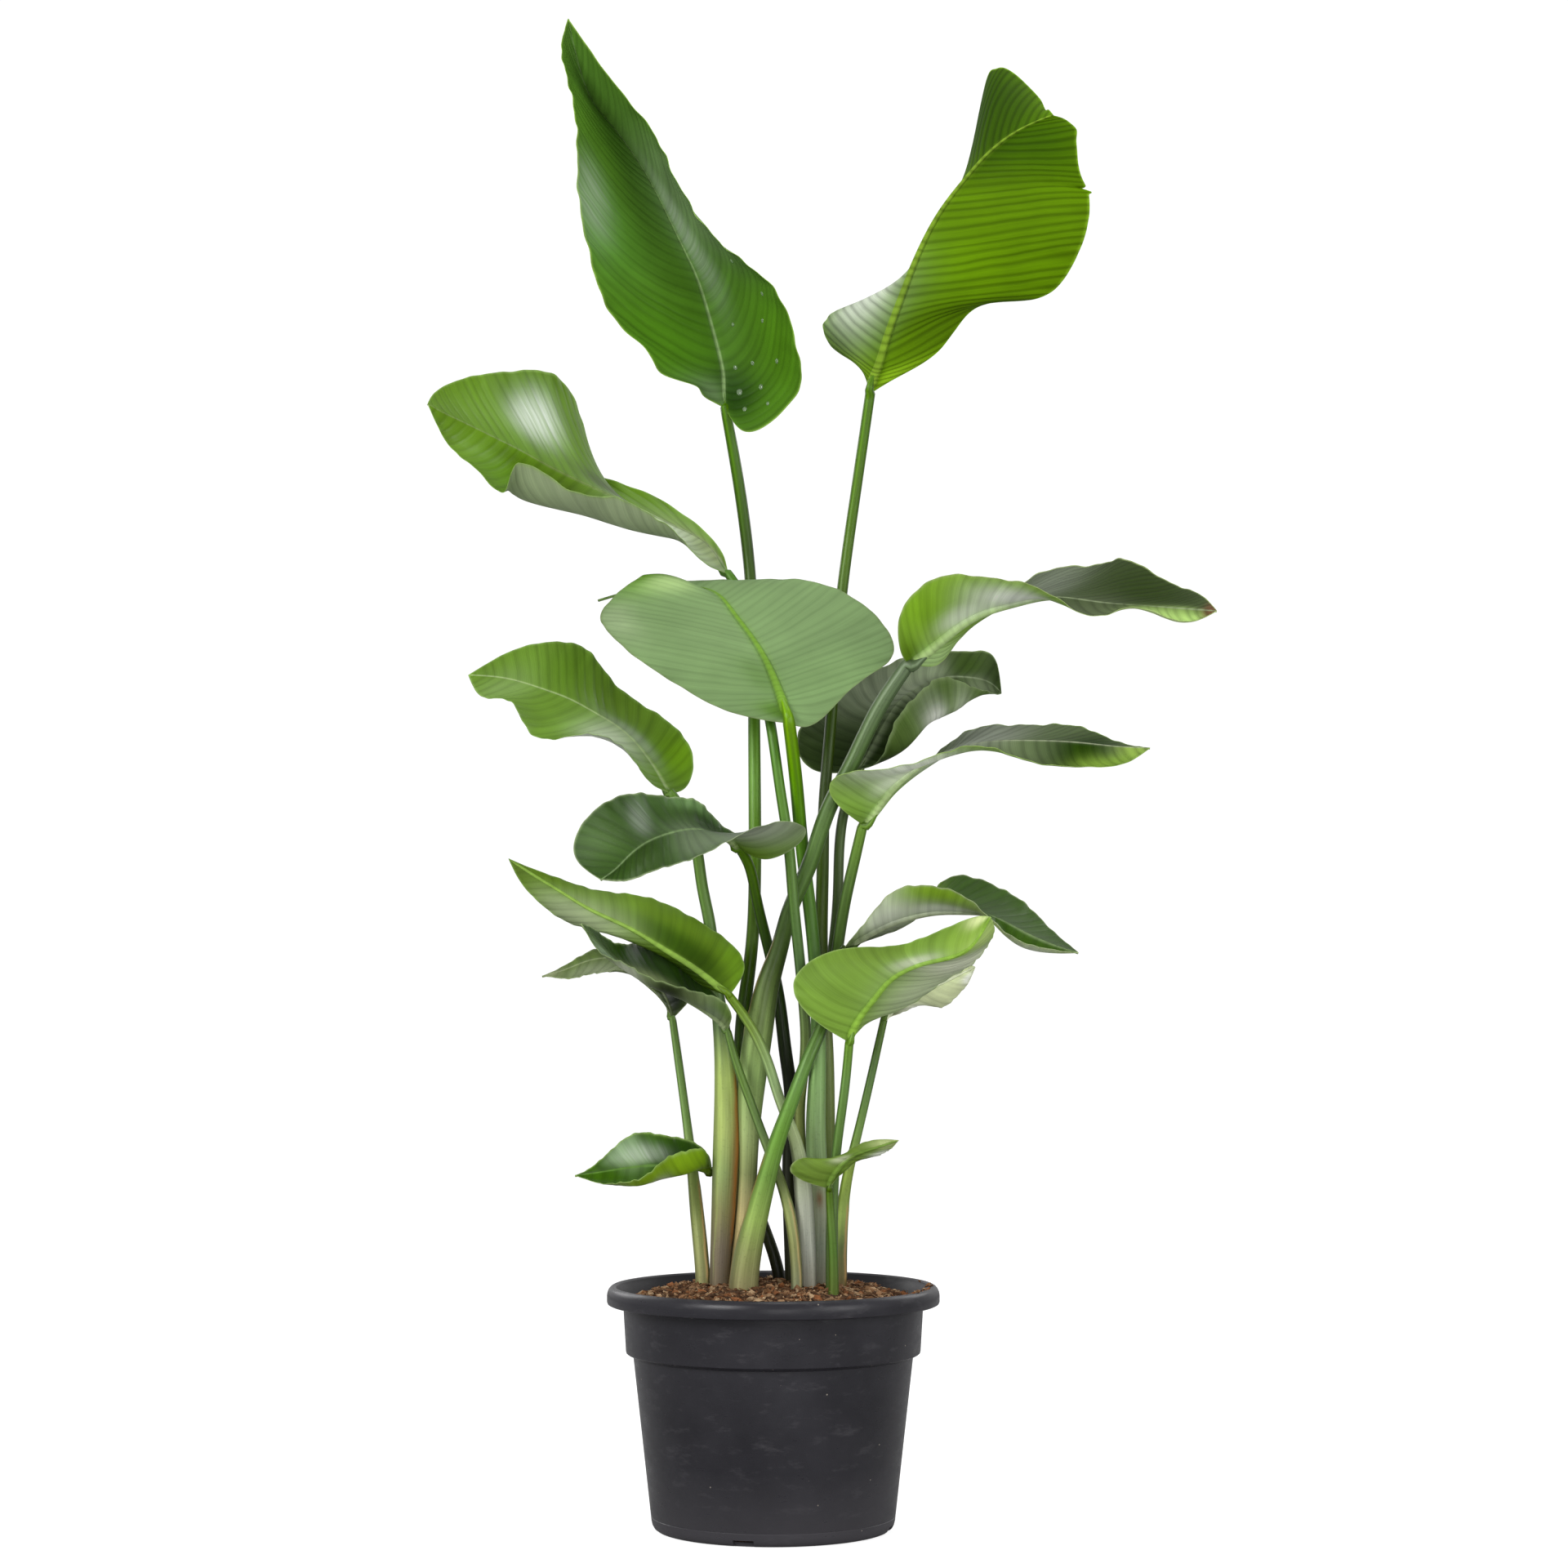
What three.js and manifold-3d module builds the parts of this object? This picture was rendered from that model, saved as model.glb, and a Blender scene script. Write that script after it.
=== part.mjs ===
// A potted white bird of paradise (Strelitzia nicolai): a nursery pot, its soil and 17 leaves.
// Millimetres, +Z up, the front of the plant towards -Y. The origin is the middle of the pot's flat
// underside.

import * as THREE from 'three';
import { mergeVertices } from 'three/addons/utils/BufferGeometryUtils.js';
import Module from 'manifold-3d';

const wasm = await Module();
wasm.setup();

// Driving dimensions of the pot
const RIM_RADIUS = 160;
const RIM_TOP_RADIUS = 155;
const RIM_UNDERSIDE = 214.5;
const POT_HEIGHT = 232;
const COLLAR_RADIUS = 144.6;
const COLLAR_FOOT_RADIUS = 141.7;
const COLLAR_FOOT = 169;
const BODY_TOP_RADIUS = 134.6;
const BODY_TOP = 165;
const BASE_RADIUS = 117;
const BASE_CORNER = 9;
const BASE_CORNER_MIDDLE = { inset: 3.4, rise: 2 };
const RIM_SHOULDER = 7;
const RIM_LIP = 5;
const RIM_EASING = 2;
const POT_WALL = 2.2;
const POT_SEGMENTS = 40;
const DRAIN_SLOTS = 4;
const DRAIN_SLOT_WIDTH = 20;
const DRAIN_SLOT_HEIGHT = 6.5;
const DRAIN_SLOT_DEPTH = 14;
const DRAIN_SLOT_FIRST_ANGLE = -104;

// Driving dimensions of the soil
const SOIL_GAP = 0.3;
const SOIL_EDGE_HEIGHT = 217;
const SOIL_CROWN_HEIGHT = 233;
const SOIL_MOUND = [[125, 221], [105, 227], [80, 230], [50, 232]];
const SOIL_LEVEL_MARGIN = 15;
const SOIL_UNEVENNESS = 1.6;
const SOIL_BUMP_WAVES = { across: [0.11, 0.05], along: [-0.03, 0.13] };
const ROOTED_HEIGHT = 198;
const HOLE_CLEARANCE = 0.4;

// Driving dimensions that all leaves share
const BLADE_THICKNESS = 1;
const SHEATH_GAP = 0.35;
const MIDRIB_TIP_RADIUS = 1;
const MIDRIB_HEIGHT_RATIO = 1.3;
const MIDRIB_WIDTH_RATIO = 1.2;
const MIDRIB_LARGEST_SHARE = 0.3;
const PETIOLE_RUNOUT = 0.1;
const MARGIN_WAVES = 3.2;
const MARGIN_WAVE_SHIFT = 0.4;
const RIB_STEP = 0.02;
const NORMAL_STEP = 0.01;
const FIRST_ROW_SHARE = 0.12;
const LARGE = { rows: 16, halfColumns: 4, tubeSides: 7, stemRings: 14 };
const LONG = { ...LARGE, stemRings: 20 };
const MEDIUM = { rows: 13, halfColumns: 4, tubeSides: 7, stemRings: 12 };
const SMALL = { rows: 11, halfColumns: 3, tubeSides: 6, stemRings: 9 };

// Each leaf from the soil up. stem: x, y, z and radius of the petiole's centre line, up to the blade.
// rows: x, y, z on the midrib, on the left margin and on the right margin, along the veins, as seen
// on the upper face with the tip up. leftCup and rightCup: how far each half bellies towards the
// underside, one value for each row. wave: the height of the margin's waves.
const LEAVES = {
  leaf_tall_left: {
    detail: LARGE,
    stem: [
      [-35, 27, 226, 8.5], [-34, 27, 327, 8], [-32, 26, 414, 7.5], [-29, 27, 493, 7], [-22, 30, 549, 6.3],
      [-18, 38, 645, 6.2], [-19, 62, 782, 6], [-23, 94, 924, 5.8], [-39, 90, 1045, 5.6], [-48, 84, 1093, 5],
    ],
    rows: [
      [-49, 88, 1112, -66, 75, 1101, -28, 58, 1066],
      [-51, 90, 1135, -104, 45, 1122, 17, 32, 1092],
      [-61, 94, 1176, -152, 30, 1170, 27, 10, 1129],
      [-75, 100, 1223, -177, 22, 1217, 8, 4, 1186],
      [-92, 104, 1261, -190, 28, 1281, -33, 8, 1227],
      [-114, 110, 1307, -192, 38, 1345, -70, 18, 1271],
      [-135, 112, 1345, -200, 52, 1389, -104, 34, 1326],
      [-162, 112, 1382, -207, 66, 1427, -124, 50, 1368],
      [-185, 108, 1412, -211, 82, 1457, -160, 72, 1420],
    ],
    tip: [-206, 92, 1487],
    leftCup: [2, 4, 7, 8, 7, 6, 5, 3, 2],
    rightCup: [2, 6, 8, 8, 7, 6, 5, 4, 2],
    wave: 3,
  },
  leaf_tall_right: {
    detail: LARGE,
    stem: [
      [55, 14, 232, 7.5], [53, 12, 375, 6.8], [52, 12, 454, 6.5], [47, 14, 546, 6.2], [48, 18, 636, 6],
      [49, 22, 684, 5.8], [55, 30, 764, 5.6], [68, 45, 910, 5.4], [79, 45, 990, 5.2], [95, 34, 1100, 5],
    ],
    rows: [
      [97, 34, 1110, 115, 38, 1113, 89, 48, 1122],
      [103, 34, 1126, 164, 52, 1146, 64, 92, 1151],
      [113, 36, 1159, 201, 62, 1190, 49, 128, 1184],
      [127, 39, 1198, 259, 56, 1198, 74, 158, 1207],
      [143, 42, 1239, 295, 42, 1229, 146, 172, 1231],
      [162, 46, 1277, 308, 29, 1261, 182, 172, 1283],
      [188, 49, 1313, 309, 22, 1297, 205, 158, 1358],
      [216, 48, 1344, 300, 22, 1322, 222, 128, 1443],
      [244, 42, 1363, 295, 24, 1360, 253, 84, 1419],
    ],
    tip: [276, 30, 1375],
    leftCup: [1, 3, 6, 8, 8, 7, 6, 4, 2],
    rightCup: [1, 4, 6, 6, 4, 2, 3, 4, 2],
    wave: 3,
  },
  leaf_upper_left: {
    detail: LONG,
    stem: [
      [29, 12, 234, 6], [26, 12, 368, 5.5], [26, 0, 411, 5.2], [30, -16, 447, 5.2], [31, -24, 471, 5.2],
      [29, -30, 504, 5.2], [25, -37, 546, 5.2], [19, -44, 604, 5.2], [15, -44, 651, 5.2], [7, -40, 705, 5],
      [-3, -28, 773, 5], [-17, 24, 844, 5], [-33, 78, 909, 4.8], [-45, 87, 928, 4.6],
    ],
    rows: [
      [-57, 88, 948, -68, 56, 935, -55, 108, 958],
      [-83, 86, 969, -101, 24, 969, -139, 160, 1021],
      [-104, 86, 979, -123, 12, 980, -180, 185, 1039],
      [-124, 86, 989, -145, 4, 990, -187, 196, 1058],
      [-172, 84, 1011, -194, -6, 1000, -203, 206, 1116],
      [-223, 80, 1035, -250, -14, 1023, -237, 188, 1146],
      [-247, 78, 1048, -263, 0, 997, -262, 172, 1145],
      [-269, 76, 1059, -284, 10, 1016, -286, 154, 1140],
      [-305, 70, 1076, -316, 32, 1047, -321, 116, 1124],
      [-329, 64, 1087, -332, 48, 1072, -338, 84, 1108],
    ],
    tip: [-342, 60, 1094],
    leftCup: [3, 11, 18, 24, 25, 34, 12, 8, 6, 3],
    rightCup: [3, 8, 9, 10, 10, 9, 8, 7, 5, 2],
    wave: 2,
  },
  leaf_center: {
    detail: LARGE,
    stem: [
      [44, -2, 235, 8.5], [45, -2, 290, 9.2], [41, -4, 376, 9.8], [43, -4, 447, 8], [40, -3, 546, 6.4],
      [34, -5, 604, 6.4], [28, -13, 651, 6.4], [22, -34, 714, 6.4], [15, -62, 770, 6],
    ],
    rows: [
      [12, -56, 781, 30, -58, 767, 1, -56, 772],
      [6, -45, 799, 73, -42, 803, -48, -44, 784],
      [-2, -31, 820, 111, -22, 831, -92, -28, 810],
      [-12, -14, 841, 114, -4, 859, -136, -10, 839],
      [-25, 4, 862, 88, 18, 891, -163, 10, 865],
      [-41, 24, 885, 43, 42, 913, -167, 22, 887],
      [-63, 45, 906, -18, 62, 921, -135, 32, 916],
      [-107, 66, 912, -79, 80, 920, -118, 56, 920],
    ],
    tip: [-175, 92, 901],
    leftCup: [1, 4, 6, 7, 6, 5, 3, 1],
    rightCup: [1, 4, 7, 8, 7, 6, 7, 4],
    wave: 2.5,
  },
  leaf_right_long: {
    detail: LONG,
    stem: [
      [-34, 2, 230, 9], [-28, 2, 290, 9.5], [-24, 0, 368, 10], [-18, -8, 451, 14], [-11, -12, 494, 13],
      [-4, -14, 526, 11], [6, -17, 557, 8.6], [15, -21, 590, 7.8], [34, -28, 635, 7.8], [53, -33, 690, 7.8],
      [73, -36, 729, 7.8], [100, -39, 784, 7.6], [129, -42, 828, 6.8],
    ],
    rows: [
      [137, -42, 834, 152, -25, 827, 122, -58, 837],
      [151, -45, 844, 171, 5, 842, 118, -78, 863],
      [170, -50, 859, 199, 50, 882, 132, -92, 890],
      [198, -52, 876, 239, 78, 911, 164, -98, 908],
      [232, -55, 886, 280, 85, 932, 206, -100, 907],
      [268, -55, 892, 323, 80, 939, 250, -100, 894],
      [310, -58, 887, 348, 62, 939, 297, -95, 870],
      [349, -62, 883, 383, 30, 916, 337, -98, 879],
      [387, -66, 880, 408, -15, 901, 382, -92, 865],
    ],
    tip: [422, -70, 877],
    leftCup: [1, 4, 7, 8, 8, 8, 7, 5, 2],
    rightCup: [1, 3, 5, 6, 6, 6, 4, 2, 6],
    wave: 2.5,
  },
  leaf_right_dark: {
    detail: MEDIUM,
    stem: [
      [37, 43, 232, 6.5], [42, 46, 366, 6], [45, 47, 453, 5.5], [57, 36, 546, 5.2], [63, 32, 611, 5],
      [68, 32, 684, 5], [82, 37, 730, 4.6],
    ],
    rows: [
      [89, 42, 741, 45, 74, 730, 101, 26, 738],
      [102, 48, 764, 23, 100, 755, 115, 8, 765],
      [117, 53, 790, 34, 116, 785, 131, -2, 794],
      [138, 56, 810, 91, 120, 830, 160, -6, 816],
      [163, 56, 822, 146, 114, 849, 186, 0, 813],
      [191, 54, 823, 193, 98, 852, 206, 16, 807],
      [211, 50, 818, 217, 72, 846, 217, 32, 804],
    ],
    tip: [224, 44, 806],
    leftCup: [2, 6, 8, 8, 7, 5, 2],
    rightCup: [6, 26, 32, 36, 28, 12, 4],
    wave: 2,
  },
  leaf_right_mid: {
    detail: LARGE,
    stem: [
      [50, 31, 232, 6.5], [49, 32, 366, 6], [49, 33, 454, 5.8], [55, 28, 501, 5.6], [61, 16, 546, 5.6],
      [70, -1, 604, 5.6], [78, -12, 640, 5.4], [86, -20, 675, 5],
    ],
    rows: [
      [93, -22, 683, 99, 0, 682, 73, -40, 683],
      [104, -25, 698, 122, 38, 715, 53, -58, 706],
      [122, -28, 718, 148, 68, 740, 67, -74, 721],
      [147, -30, 736, 173, 84, 757, 107, -80, 726],
      [173, -30, 748, 204, 90, 774, 151, -76, 740],
      [208, -30, 755, 246, 84, 779, 193, -70, 747],
      [249, -32, 756, 291, 64, 775, 239, -75, 735],
      [292, -35, 754, 322, 32, 764, 287, -75, 729],
      [327, -38, 750, 347, 0, 753, 329, -60, 730],
    ],
    tip: [361, -40, 748],
    leftCup: [1, 4, 6, 7, 7, 7, 6, 4, 2],
    rightCup: [1, 3, 5, 6, 6, 6, 8, 9, 4],
    wave: 2,
  },
  leaf_left_mid: {
    detail: MEDIUM,
    stem: [
      [-52, 0, 229, 9.6], [-49, 0, 290, 11], [-46, 0, 353, 12.6], [-47, 2, 447, 10], [-51, 5, 486, 8],
      [-57, 10, 533, 6.4], [-62, 15, 581, 5.8], [-69, 15, 616, 5.6], [-81, 11, 676, 5.4], [-99, 8, 706, 4.8],
    ],
    rows: [
      [-105, 8, 715, -117, -10, 714, -85, 26, 713],
      [-114, 8, 730, -130, -34, 731, -78, 40, 739],
      [-128, 8, 749, -144, -56, 750, -89, 50, 763],
      [-148, 6, 769, -172, -74, 758, -117, 54, 789],
      [-170, 4, 783, -199, -80, 756, -157, 54, 818],
      [-196, 2, 797, -230, -74, 761, -181, 50, 846],
      [-223, 0, 807, -250, -50, 789, -206, 40, 857],
      [-258, -5, 817, -279, -26, 798, -251, 18, 847],
    ],
    tip: [-295, -10, 820],
    leftCup: [1, 4, 6, 7, 7, 6, 4, 2],
    rightCup: [1, 4, 6, 7, 7, 6, 4, 2],
    wave: 2,
  },
  leaf_left_glossy: {
    detail: MEDIUM,
    stem: [
      [18, 26, 239, 6.8], [16, 25, 304, 6.8], [16, 24, 367, 6.8], [17, 22, 414, 6.6], [12, 18, 454, 6.4],
      [6, 14, 503, 6], [-3, 9, 549, 5.4], [-10, 3, 577, 5.2], [-17, -8, 608, 5], [-24, -22, 637, 5],
      [-33, -36, 653, 4.8],
    ],
    rows: [
      [-37, -40, 657, -3, -50, 641, -33, -20, 664],
      [-44, -48, 662, 30, -66, 663, -45, -22, 672],
      [-58, -62, 667, 8, -92, 677, -63, -36, 687],
      [-79, -90, 669, -47, -128, 652, -82, -44, 701],
      [-101, -124, 663, -82, -158, 638, -114, -62, 701],
      [-120, -157, 653, -112, -180, 626, -146, -92, 700],
      [-134, -181, 640, -131, -194, 619, -174, -130, 678],
      [-145, -197, 628, -147, -202, 618, -183, -170, 642],
    ],
    tip: [-157, -208, 619],
    leftCup: [2, 5, 6, 6, 5, 4, 2, 1],
    rightCup: [1, 3, 5, 6, 6, 6, 4, 2],
    wave: 2,
  },
  leaf_left_low: {
    detail: MEDIUM,
    stem: [
      [33, -24, 240, 8.5], [31, -26, 286, 9], [27, -31, 340, 8], [20, -37, 376, 6], [7, -42, 410, 5],
      [-4, -47, 444, 5], [-22, -50, 483, 4.8], [-42, -50, 511, 4.2],
    ],
    rows: [
      [-49, -48, 516, -34, -38, 522, -60, -42, 517],
      [-64, -44, 528, -28, -20, 541, -85, -28, 534],
      [-87, -36, 544, -51, -4, 568, -116, -12, 557],
      [-115, -26, 561, -93, 8, 595, -146, -2, 570],
      [-143, -15, 577, -132, 16, 606, -180, 8, 574],
      [-175, -5, 592, -168, 18, 613, -206, 12, 585],
      [-207, 4, 611, -204, 16, 622, -232, 12, 605],
      [-233, 8, 627, -231, 12, 632, -246, 12, 621],
    ],
    tip: [-257, 10, 643],
    leftCup: [1, 3, 5, 6, 5, 4, 2, 1],
    rightCup: [1, 3, 5, 6, 6, 4, 2, 1],
    wave: 2,
  },
  leaf_left_folded: {
    detail: SMALL,
    stem: [
      [22, -40, 247, 5.4], [17, -40, 295, 5.4], [9, -38, 328, 5], [-7, -34, 370, 4.4], [-22, -33, 410, 4.2],
      [-37, -33, 452, 4], [-44, -34, 478, 3.6],
    ],
    rows: [
      [-49, -35, 485, -40, -54, 492, -42, -12, 496],
      [-63, -38, 496, -52, -70, 510, -67, 2, 522],
      [-85, -43, 509, -79, -82, 516, -94, 0, 546],
      [-110, -50, 521, -113, -90, 529, -127, 8, 558],
      [-133, -60, 534, -142, -96, 542, -150, -34, 562],
      [-156, -74, 551, -162, -98, 553, -168, -60, 573],
    ],
    tip: [-181, -92, 580],
    leftCup: [2, 5, 6, 6, 4, 2],
    rightCup: [1, 4, 5, 5, 4, 2],
    wave: 1.5,
  },
  leaf_left_lowest: {
    detail: SMALL,
    stem: [
      [-68, 10, 232, 7], [-74, 22, 298, 6.6], [-78, 32, 335, 5.6], [-84, 42, 383, 4.4], [-94, 54, 453, 4],
      [-99, 60, 487, 3.6],
    ],
    rows: [
      [-103, 57, 502, -112, 40, 509, -86, 78, 500],
      [-113, 53, 521, -126, 28, 524, -82, 88, 516],
      [-130, 48, 537, -144, 18, 534, -111, 92, 545],
      [-153, 40, 546, -165, 12, 534, -141, 82, 557],
      [-181, 32, 544, -186, 14, 528, -176, 58, 556],
      [-204, 26, 535, -205, 18, 527, -200, 38, 541],
    ],
    tip: [-225, 22, 529],
    leftCup: [2, 5, 6, 5, 3, 1],
    rightCup: [2, 5, 6, 5, 3, 1],
    wave: 1.5,
  },
  leaf_base_left: {
    detail: SMALL,
    stem: [
      [6, 50, 232, 6], [-7, 53, 278, 5.6], [-26, 53, 317, 5], [-44, 43, 333, 4.6], [-60, 26, 340, 4.2],
    ],
    rows: [
      [-70, 16, 344, -67, -12, 363, -63, 22, 356],
      [-84, 4, 347, -82, -34, 364, -77, 18, 368],
      [-106, -6, 348, -105, -52, 354, -107, 16, 376],
      [-131, -14, 347, -128, -58, 338, -136, 12, 376],
      [-154, -20, 344, -151, -52, 333, -159, 2, 360],
      [-174, -22, 341, -170, -38, 334, -176, -12, 345],
    ],
    tip: [-190, -24, 339],
    leftCup: [8, 15, 15, 12, 7, 3],
    rightCup: [1, 3, 5, 5, 3, 1],
    wave: 1,
  },
  leaf_right_low: {
    detail: MEDIUM,
    stem: [
      [56, -34, 237, 6], [56, -38, 293, 5.6], [60, -46, 363, 4.6], [68, -56, 425, 4.4], [72, -62, 467, 4.2],
    ],
    rows: [
      [75, -64, 478, 88, -56, 484, 52, -64, 479],
      [83, -68, 493, 113, -52, 495, 29, -62, 498],
      [94, -73, 507, 139, -48, 508, 19, -58, 523],
      [106, -79, 522, 159, -50, 521, 37, -56, 545],
      [122, -86, 534, 179, -58, 536, 76, -60, 557],
      [142, -94, 542, 196, -72, 548, 122, -72, 560],
      [167, -103, 548, 205, -92, 565, 164, -88, 576],
      [187, -111, 560, 207, -108, 576, 189, -104, 586],
    ],
    tip: [203, -118, 586],
    leftCup: [1, 3, 5, 6, 6, 5, 3, 1],
    rightCup: [1, 4, 6, 6, 5, 4, 3, 1],
    wave: 1.5,
  },
  leaf_right_low_back: {
    detail: SMALL,
    stem: [
      [64, -8, 244, 6.5], [66, -8, 298, 6], [72, -8, 340, 5], [79, -6, 369, 4.4], [93, -4, 427, 4],
      [107, 0, 488, 3.6],
    ],
    rows: [
      [114, 0, 496, 125, 12, 494, 107, 18, 508],
      [127, 0, 505, 145, 18, 502, 118, 30, 527],
      [144, 0, 514, 162, 14, 499, 139, 30, 541],
      [164, 0, 523, 183, 6, 515, 165, 20, 546],
      [181, -2, 531, 190, -2, 526, 184, 6, 543],
    ],
    tip: [195, -5, 538],
    leftCup: [1, 4, 5, 4, 2],
    rightCup: [1, 4, 5, 4, 2],
    wave: 1,
  },
  leaf_right_arching: {
    detail: MEDIUM,
    stem: [
      [-28, -34, 234, 13.8], [-20, -42, 285, 12], [-8, -50, 332, 9.6], [3, -56, 371, 8], [20, -60, 418, 6.6],
      [35, -56, 456, 6.4], [46, -47, 481, 6.2], [57, -34, 518, 6], [67, -28, 555, 5],
    ],
    rows: [
      [81, -30, 565, 91, -8, 563, 76, -48, 568],
      [104, -33, 577, 119, 27, 574, 92, -60, 587],
      [130, -36, 586, 147, 52, 594, 116, -70, 611],
      [157, -38, 591, 170, 62, 623, 143, -74, 617],
      [183, -40, 591, 200, 57, 626, 171, -74, 610],
      [207, -43, 588, 228, 47, 612, 199, -71, 590],
      [236, -46, 574, 251, 32, 594, 229, -68, 567],
      [264, -48, 561, 275, -3, 569, 258, -62, 556],
    ],
    tip: [291, -50, 552],
    leftCup: [1, 3, 4, 5, 6, 5, 4, 2],
    rightCup: [1, 2, 3, 4, 4, 3, 9, 7],
    wave: 1.5,
  },
  leaf_base_right: {
    detail: SMALL,
    stem: [
      [57, -62, 233, 5], [56, -64, 279, 4.4], [54, -65, 310, 4], [53, -66, 329, 3.6],
    ],
    rows: [
      [54, -68, 337, 61, -66, 340, 33, -66, 335],
      [58, -71, 345, 70, -66, 349, 16, -64, 346],
      [66, -74, 354, 82, -68, 359, 27, -64, 358],
      [78, -78, 362, 99, -74, 362, 53, -64, 355],
      [95, -82, 368, 110, -80, 367, 83, -74, 372],
    ],
    tip: [118, -86, 376],
    leftCup: [1, 3, 4, 3, 1],
    rightCup: [1, 4, 5, 4, 2],
    wave: 1,
  },
};

// Where one petiole's sheath wraps another: the outer leaf, then the one that it wraps
const WRAPPED_SHEATHS = [
  ['leaf_left_mid', 'leaf_right_long'],
];

// Colours and finishes
const finish = (color, roughness) => new THREE.MeshStandardMaterial({ color, roughness, metalness: 0 });
const POT_PLASTIC = finish(0x3b3a40, 0.55);
const SOIL_CRUMB = finish(0x806752, 0.95);
const LEAF_GREENS = {
  leaf_tall_left: finish(0x4f8a3c, 0.35),
  leaf_tall_right: finish(0x5f960a, 0.4),
  leaf_upper_left: finish(0x4d8a38, 0.3),
  leaf_center: finish(0x789b64, 0.5),
  leaf_right_long: finish(0x5d7d4a, 0.4),
  leaf_right_dark: finish(0x46603c, 0.4),
  leaf_right_mid: finish(0x6a9a3e, 0.4),
  leaf_left_mid: finish(0x4c7c3e, 0.35),
  leaf_left_glossy: finish(0x2f4f2c, 0.25),
  leaf_left_low: finish(0x69a032, 0.4),
  leaf_left_folded: finish(0x4b6a41, 0.4),
  leaf_left_lowest: finish(0x6f8d5a, 0.4),
  leaf_base_left: finish(0x334f2a, 0.25),
  leaf_right_low: finish(0x7aa83a, 0.4),
  leaf_right_low_back: finish(0x86a860, 0.45),
  leaf_right_arching: finish(0x5f8148, 0.4),
  leaf_base_right: finish(0x6ca03c, 0.4),
};

// Booleans

function toSolid(geometry) {
  const bare = geometry.clone();
  bare.deleteAttribute('normal');
  bare.deleteAttribute('uv');
  const merged = mergeVertices(bare, 1e-4);
  return new wasm.Manifold(new wasm.Mesh({
    numProp: 3,
    vertProperties: new Float32Array(merged.attributes.position.array),
    triVerts: new Uint32Array(merged.index.array),
  }));
}

function toMesh(name, solid, material) {
  const { vertProperties, triVerts } = solid.getMesh();
  const geometry = new THREE.BufferGeometry();
  geometry.setAttribute('position', new THREE.BufferAttribute(vertProperties, 3));
  geometry.setIndex(new THREE.BufferAttribute(triVerts, 1));
  geometry.computeVertexNormals();
  const mesh = new THREE.Mesh(geometry, material);
  mesh.name = name;
  return mesh;
}

// Smooth curves

const distance = (a, b) => Math.hypot(...a.map((value, k) => value - b[k]));

// A natural cubic spline through points of any number of channels, at rising knots
function naturalSpline(knots, points) {
  const last = knots.length - 1;
  const step = knots.slice(1).map((knot, i) => knot - knots[i]);
  const bends = points[0].map((_, channel) => {
    const value = points.map((point) => point[channel]);
    const bend = new Array(last + 1).fill(0);
    const upper = new Array(last + 1).fill(0);
    for (let i = 1; i < last; i += 1) {
      const rise = (value[i + 1] - value[i]) / step[i] - (value[i] - value[i - 1]) / step[i - 1];
      const pivot = 2 * (step[i - 1] + step[i]) - step[i - 1] * upper[i - 1];
      upper[i] = step[i] / pivot;
      bend[i] = (6 * rise - step[i - 1] * bend[i - 1]) / pivot;
    }
    for (let i = last - 1; i > 0; i -= 1) {
      bend[i] -= upper[i] * bend[i + 1];
    }
    return bend;
  });
  return (at) => {
    let i = 0;
    while (i < last - 1 && at > knots[i + 1]) i += 1;
    const b = (at - knots[i]) / step[i];
    const a = 1 - b;
    const cube = step[i] * step[i] / 6;
    return points[i].map((value, channel) => {
      const bend = bends[channel];
      return a * value + b * points[i + 1][channel]
        + ((a ** 3 - a) * bend[i] + (b ** 3 - b) * bend[i + 1]) * cube;
    });
  };
}

// A tapered tube through rings of centre and radius, closed at both ends
function taperedTube(rings, sides) {
  const positions = [];
  const index = [];
  const centres = rings.map(({ centre }) => centre);
  const across = new THREE.Vector3(1, 0, 0);
  rings.forEach(({ centre, radius }, i) => {
    const ahead = centres[Math.min(i + 1, centres.length - 1)];
    const behind = centres[Math.max(i - 1, 0)];
    const tangent = ahead.clone().sub(behind).normalize();
    across.addScaledVector(tangent, -across.dot(tangent)).normalize();
    const side = tangent.clone().cross(across);
    for (let k = 0; k < sides; k += 1) {
      const angle = 2 * Math.PI * k / sides;
      const point = centre.clone()
        .addScaledVector(across, radius * Math.cos(angle))
        .addScaledVector(side, radius * Math.sin(angle));
      positions.push(...point.toArray());
    }
  });
  for (let i = 0; i < rings.length - 1; i += 1) {
    for (let k = 0; k < sides; k += 1) {
      const next = (k + 1) % sides;
      const [a, b] = [i * sides + k, i * sides + next];
      const [c, d] = [a + sides, b + sides];
      index.push(a, b, d, a, d, c);
    }
  }
  const top = (rings.length - 1) * sides;
  for (let k = 1; k < sides - 1; k += 1) {
    index.push(0, k + 1, k);
    index.push(top, top + k, top + k + 1);
  }
  const geometry = new THREE.BufferGeometry();
  geometry.setAttribute('position', new THREE.Float32BufferAttribute(positions, 3));
  geometry.setIndex(index);
  return geometry;
}

// The blade: a curved sheet between midrib and margins, and its solid

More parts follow.
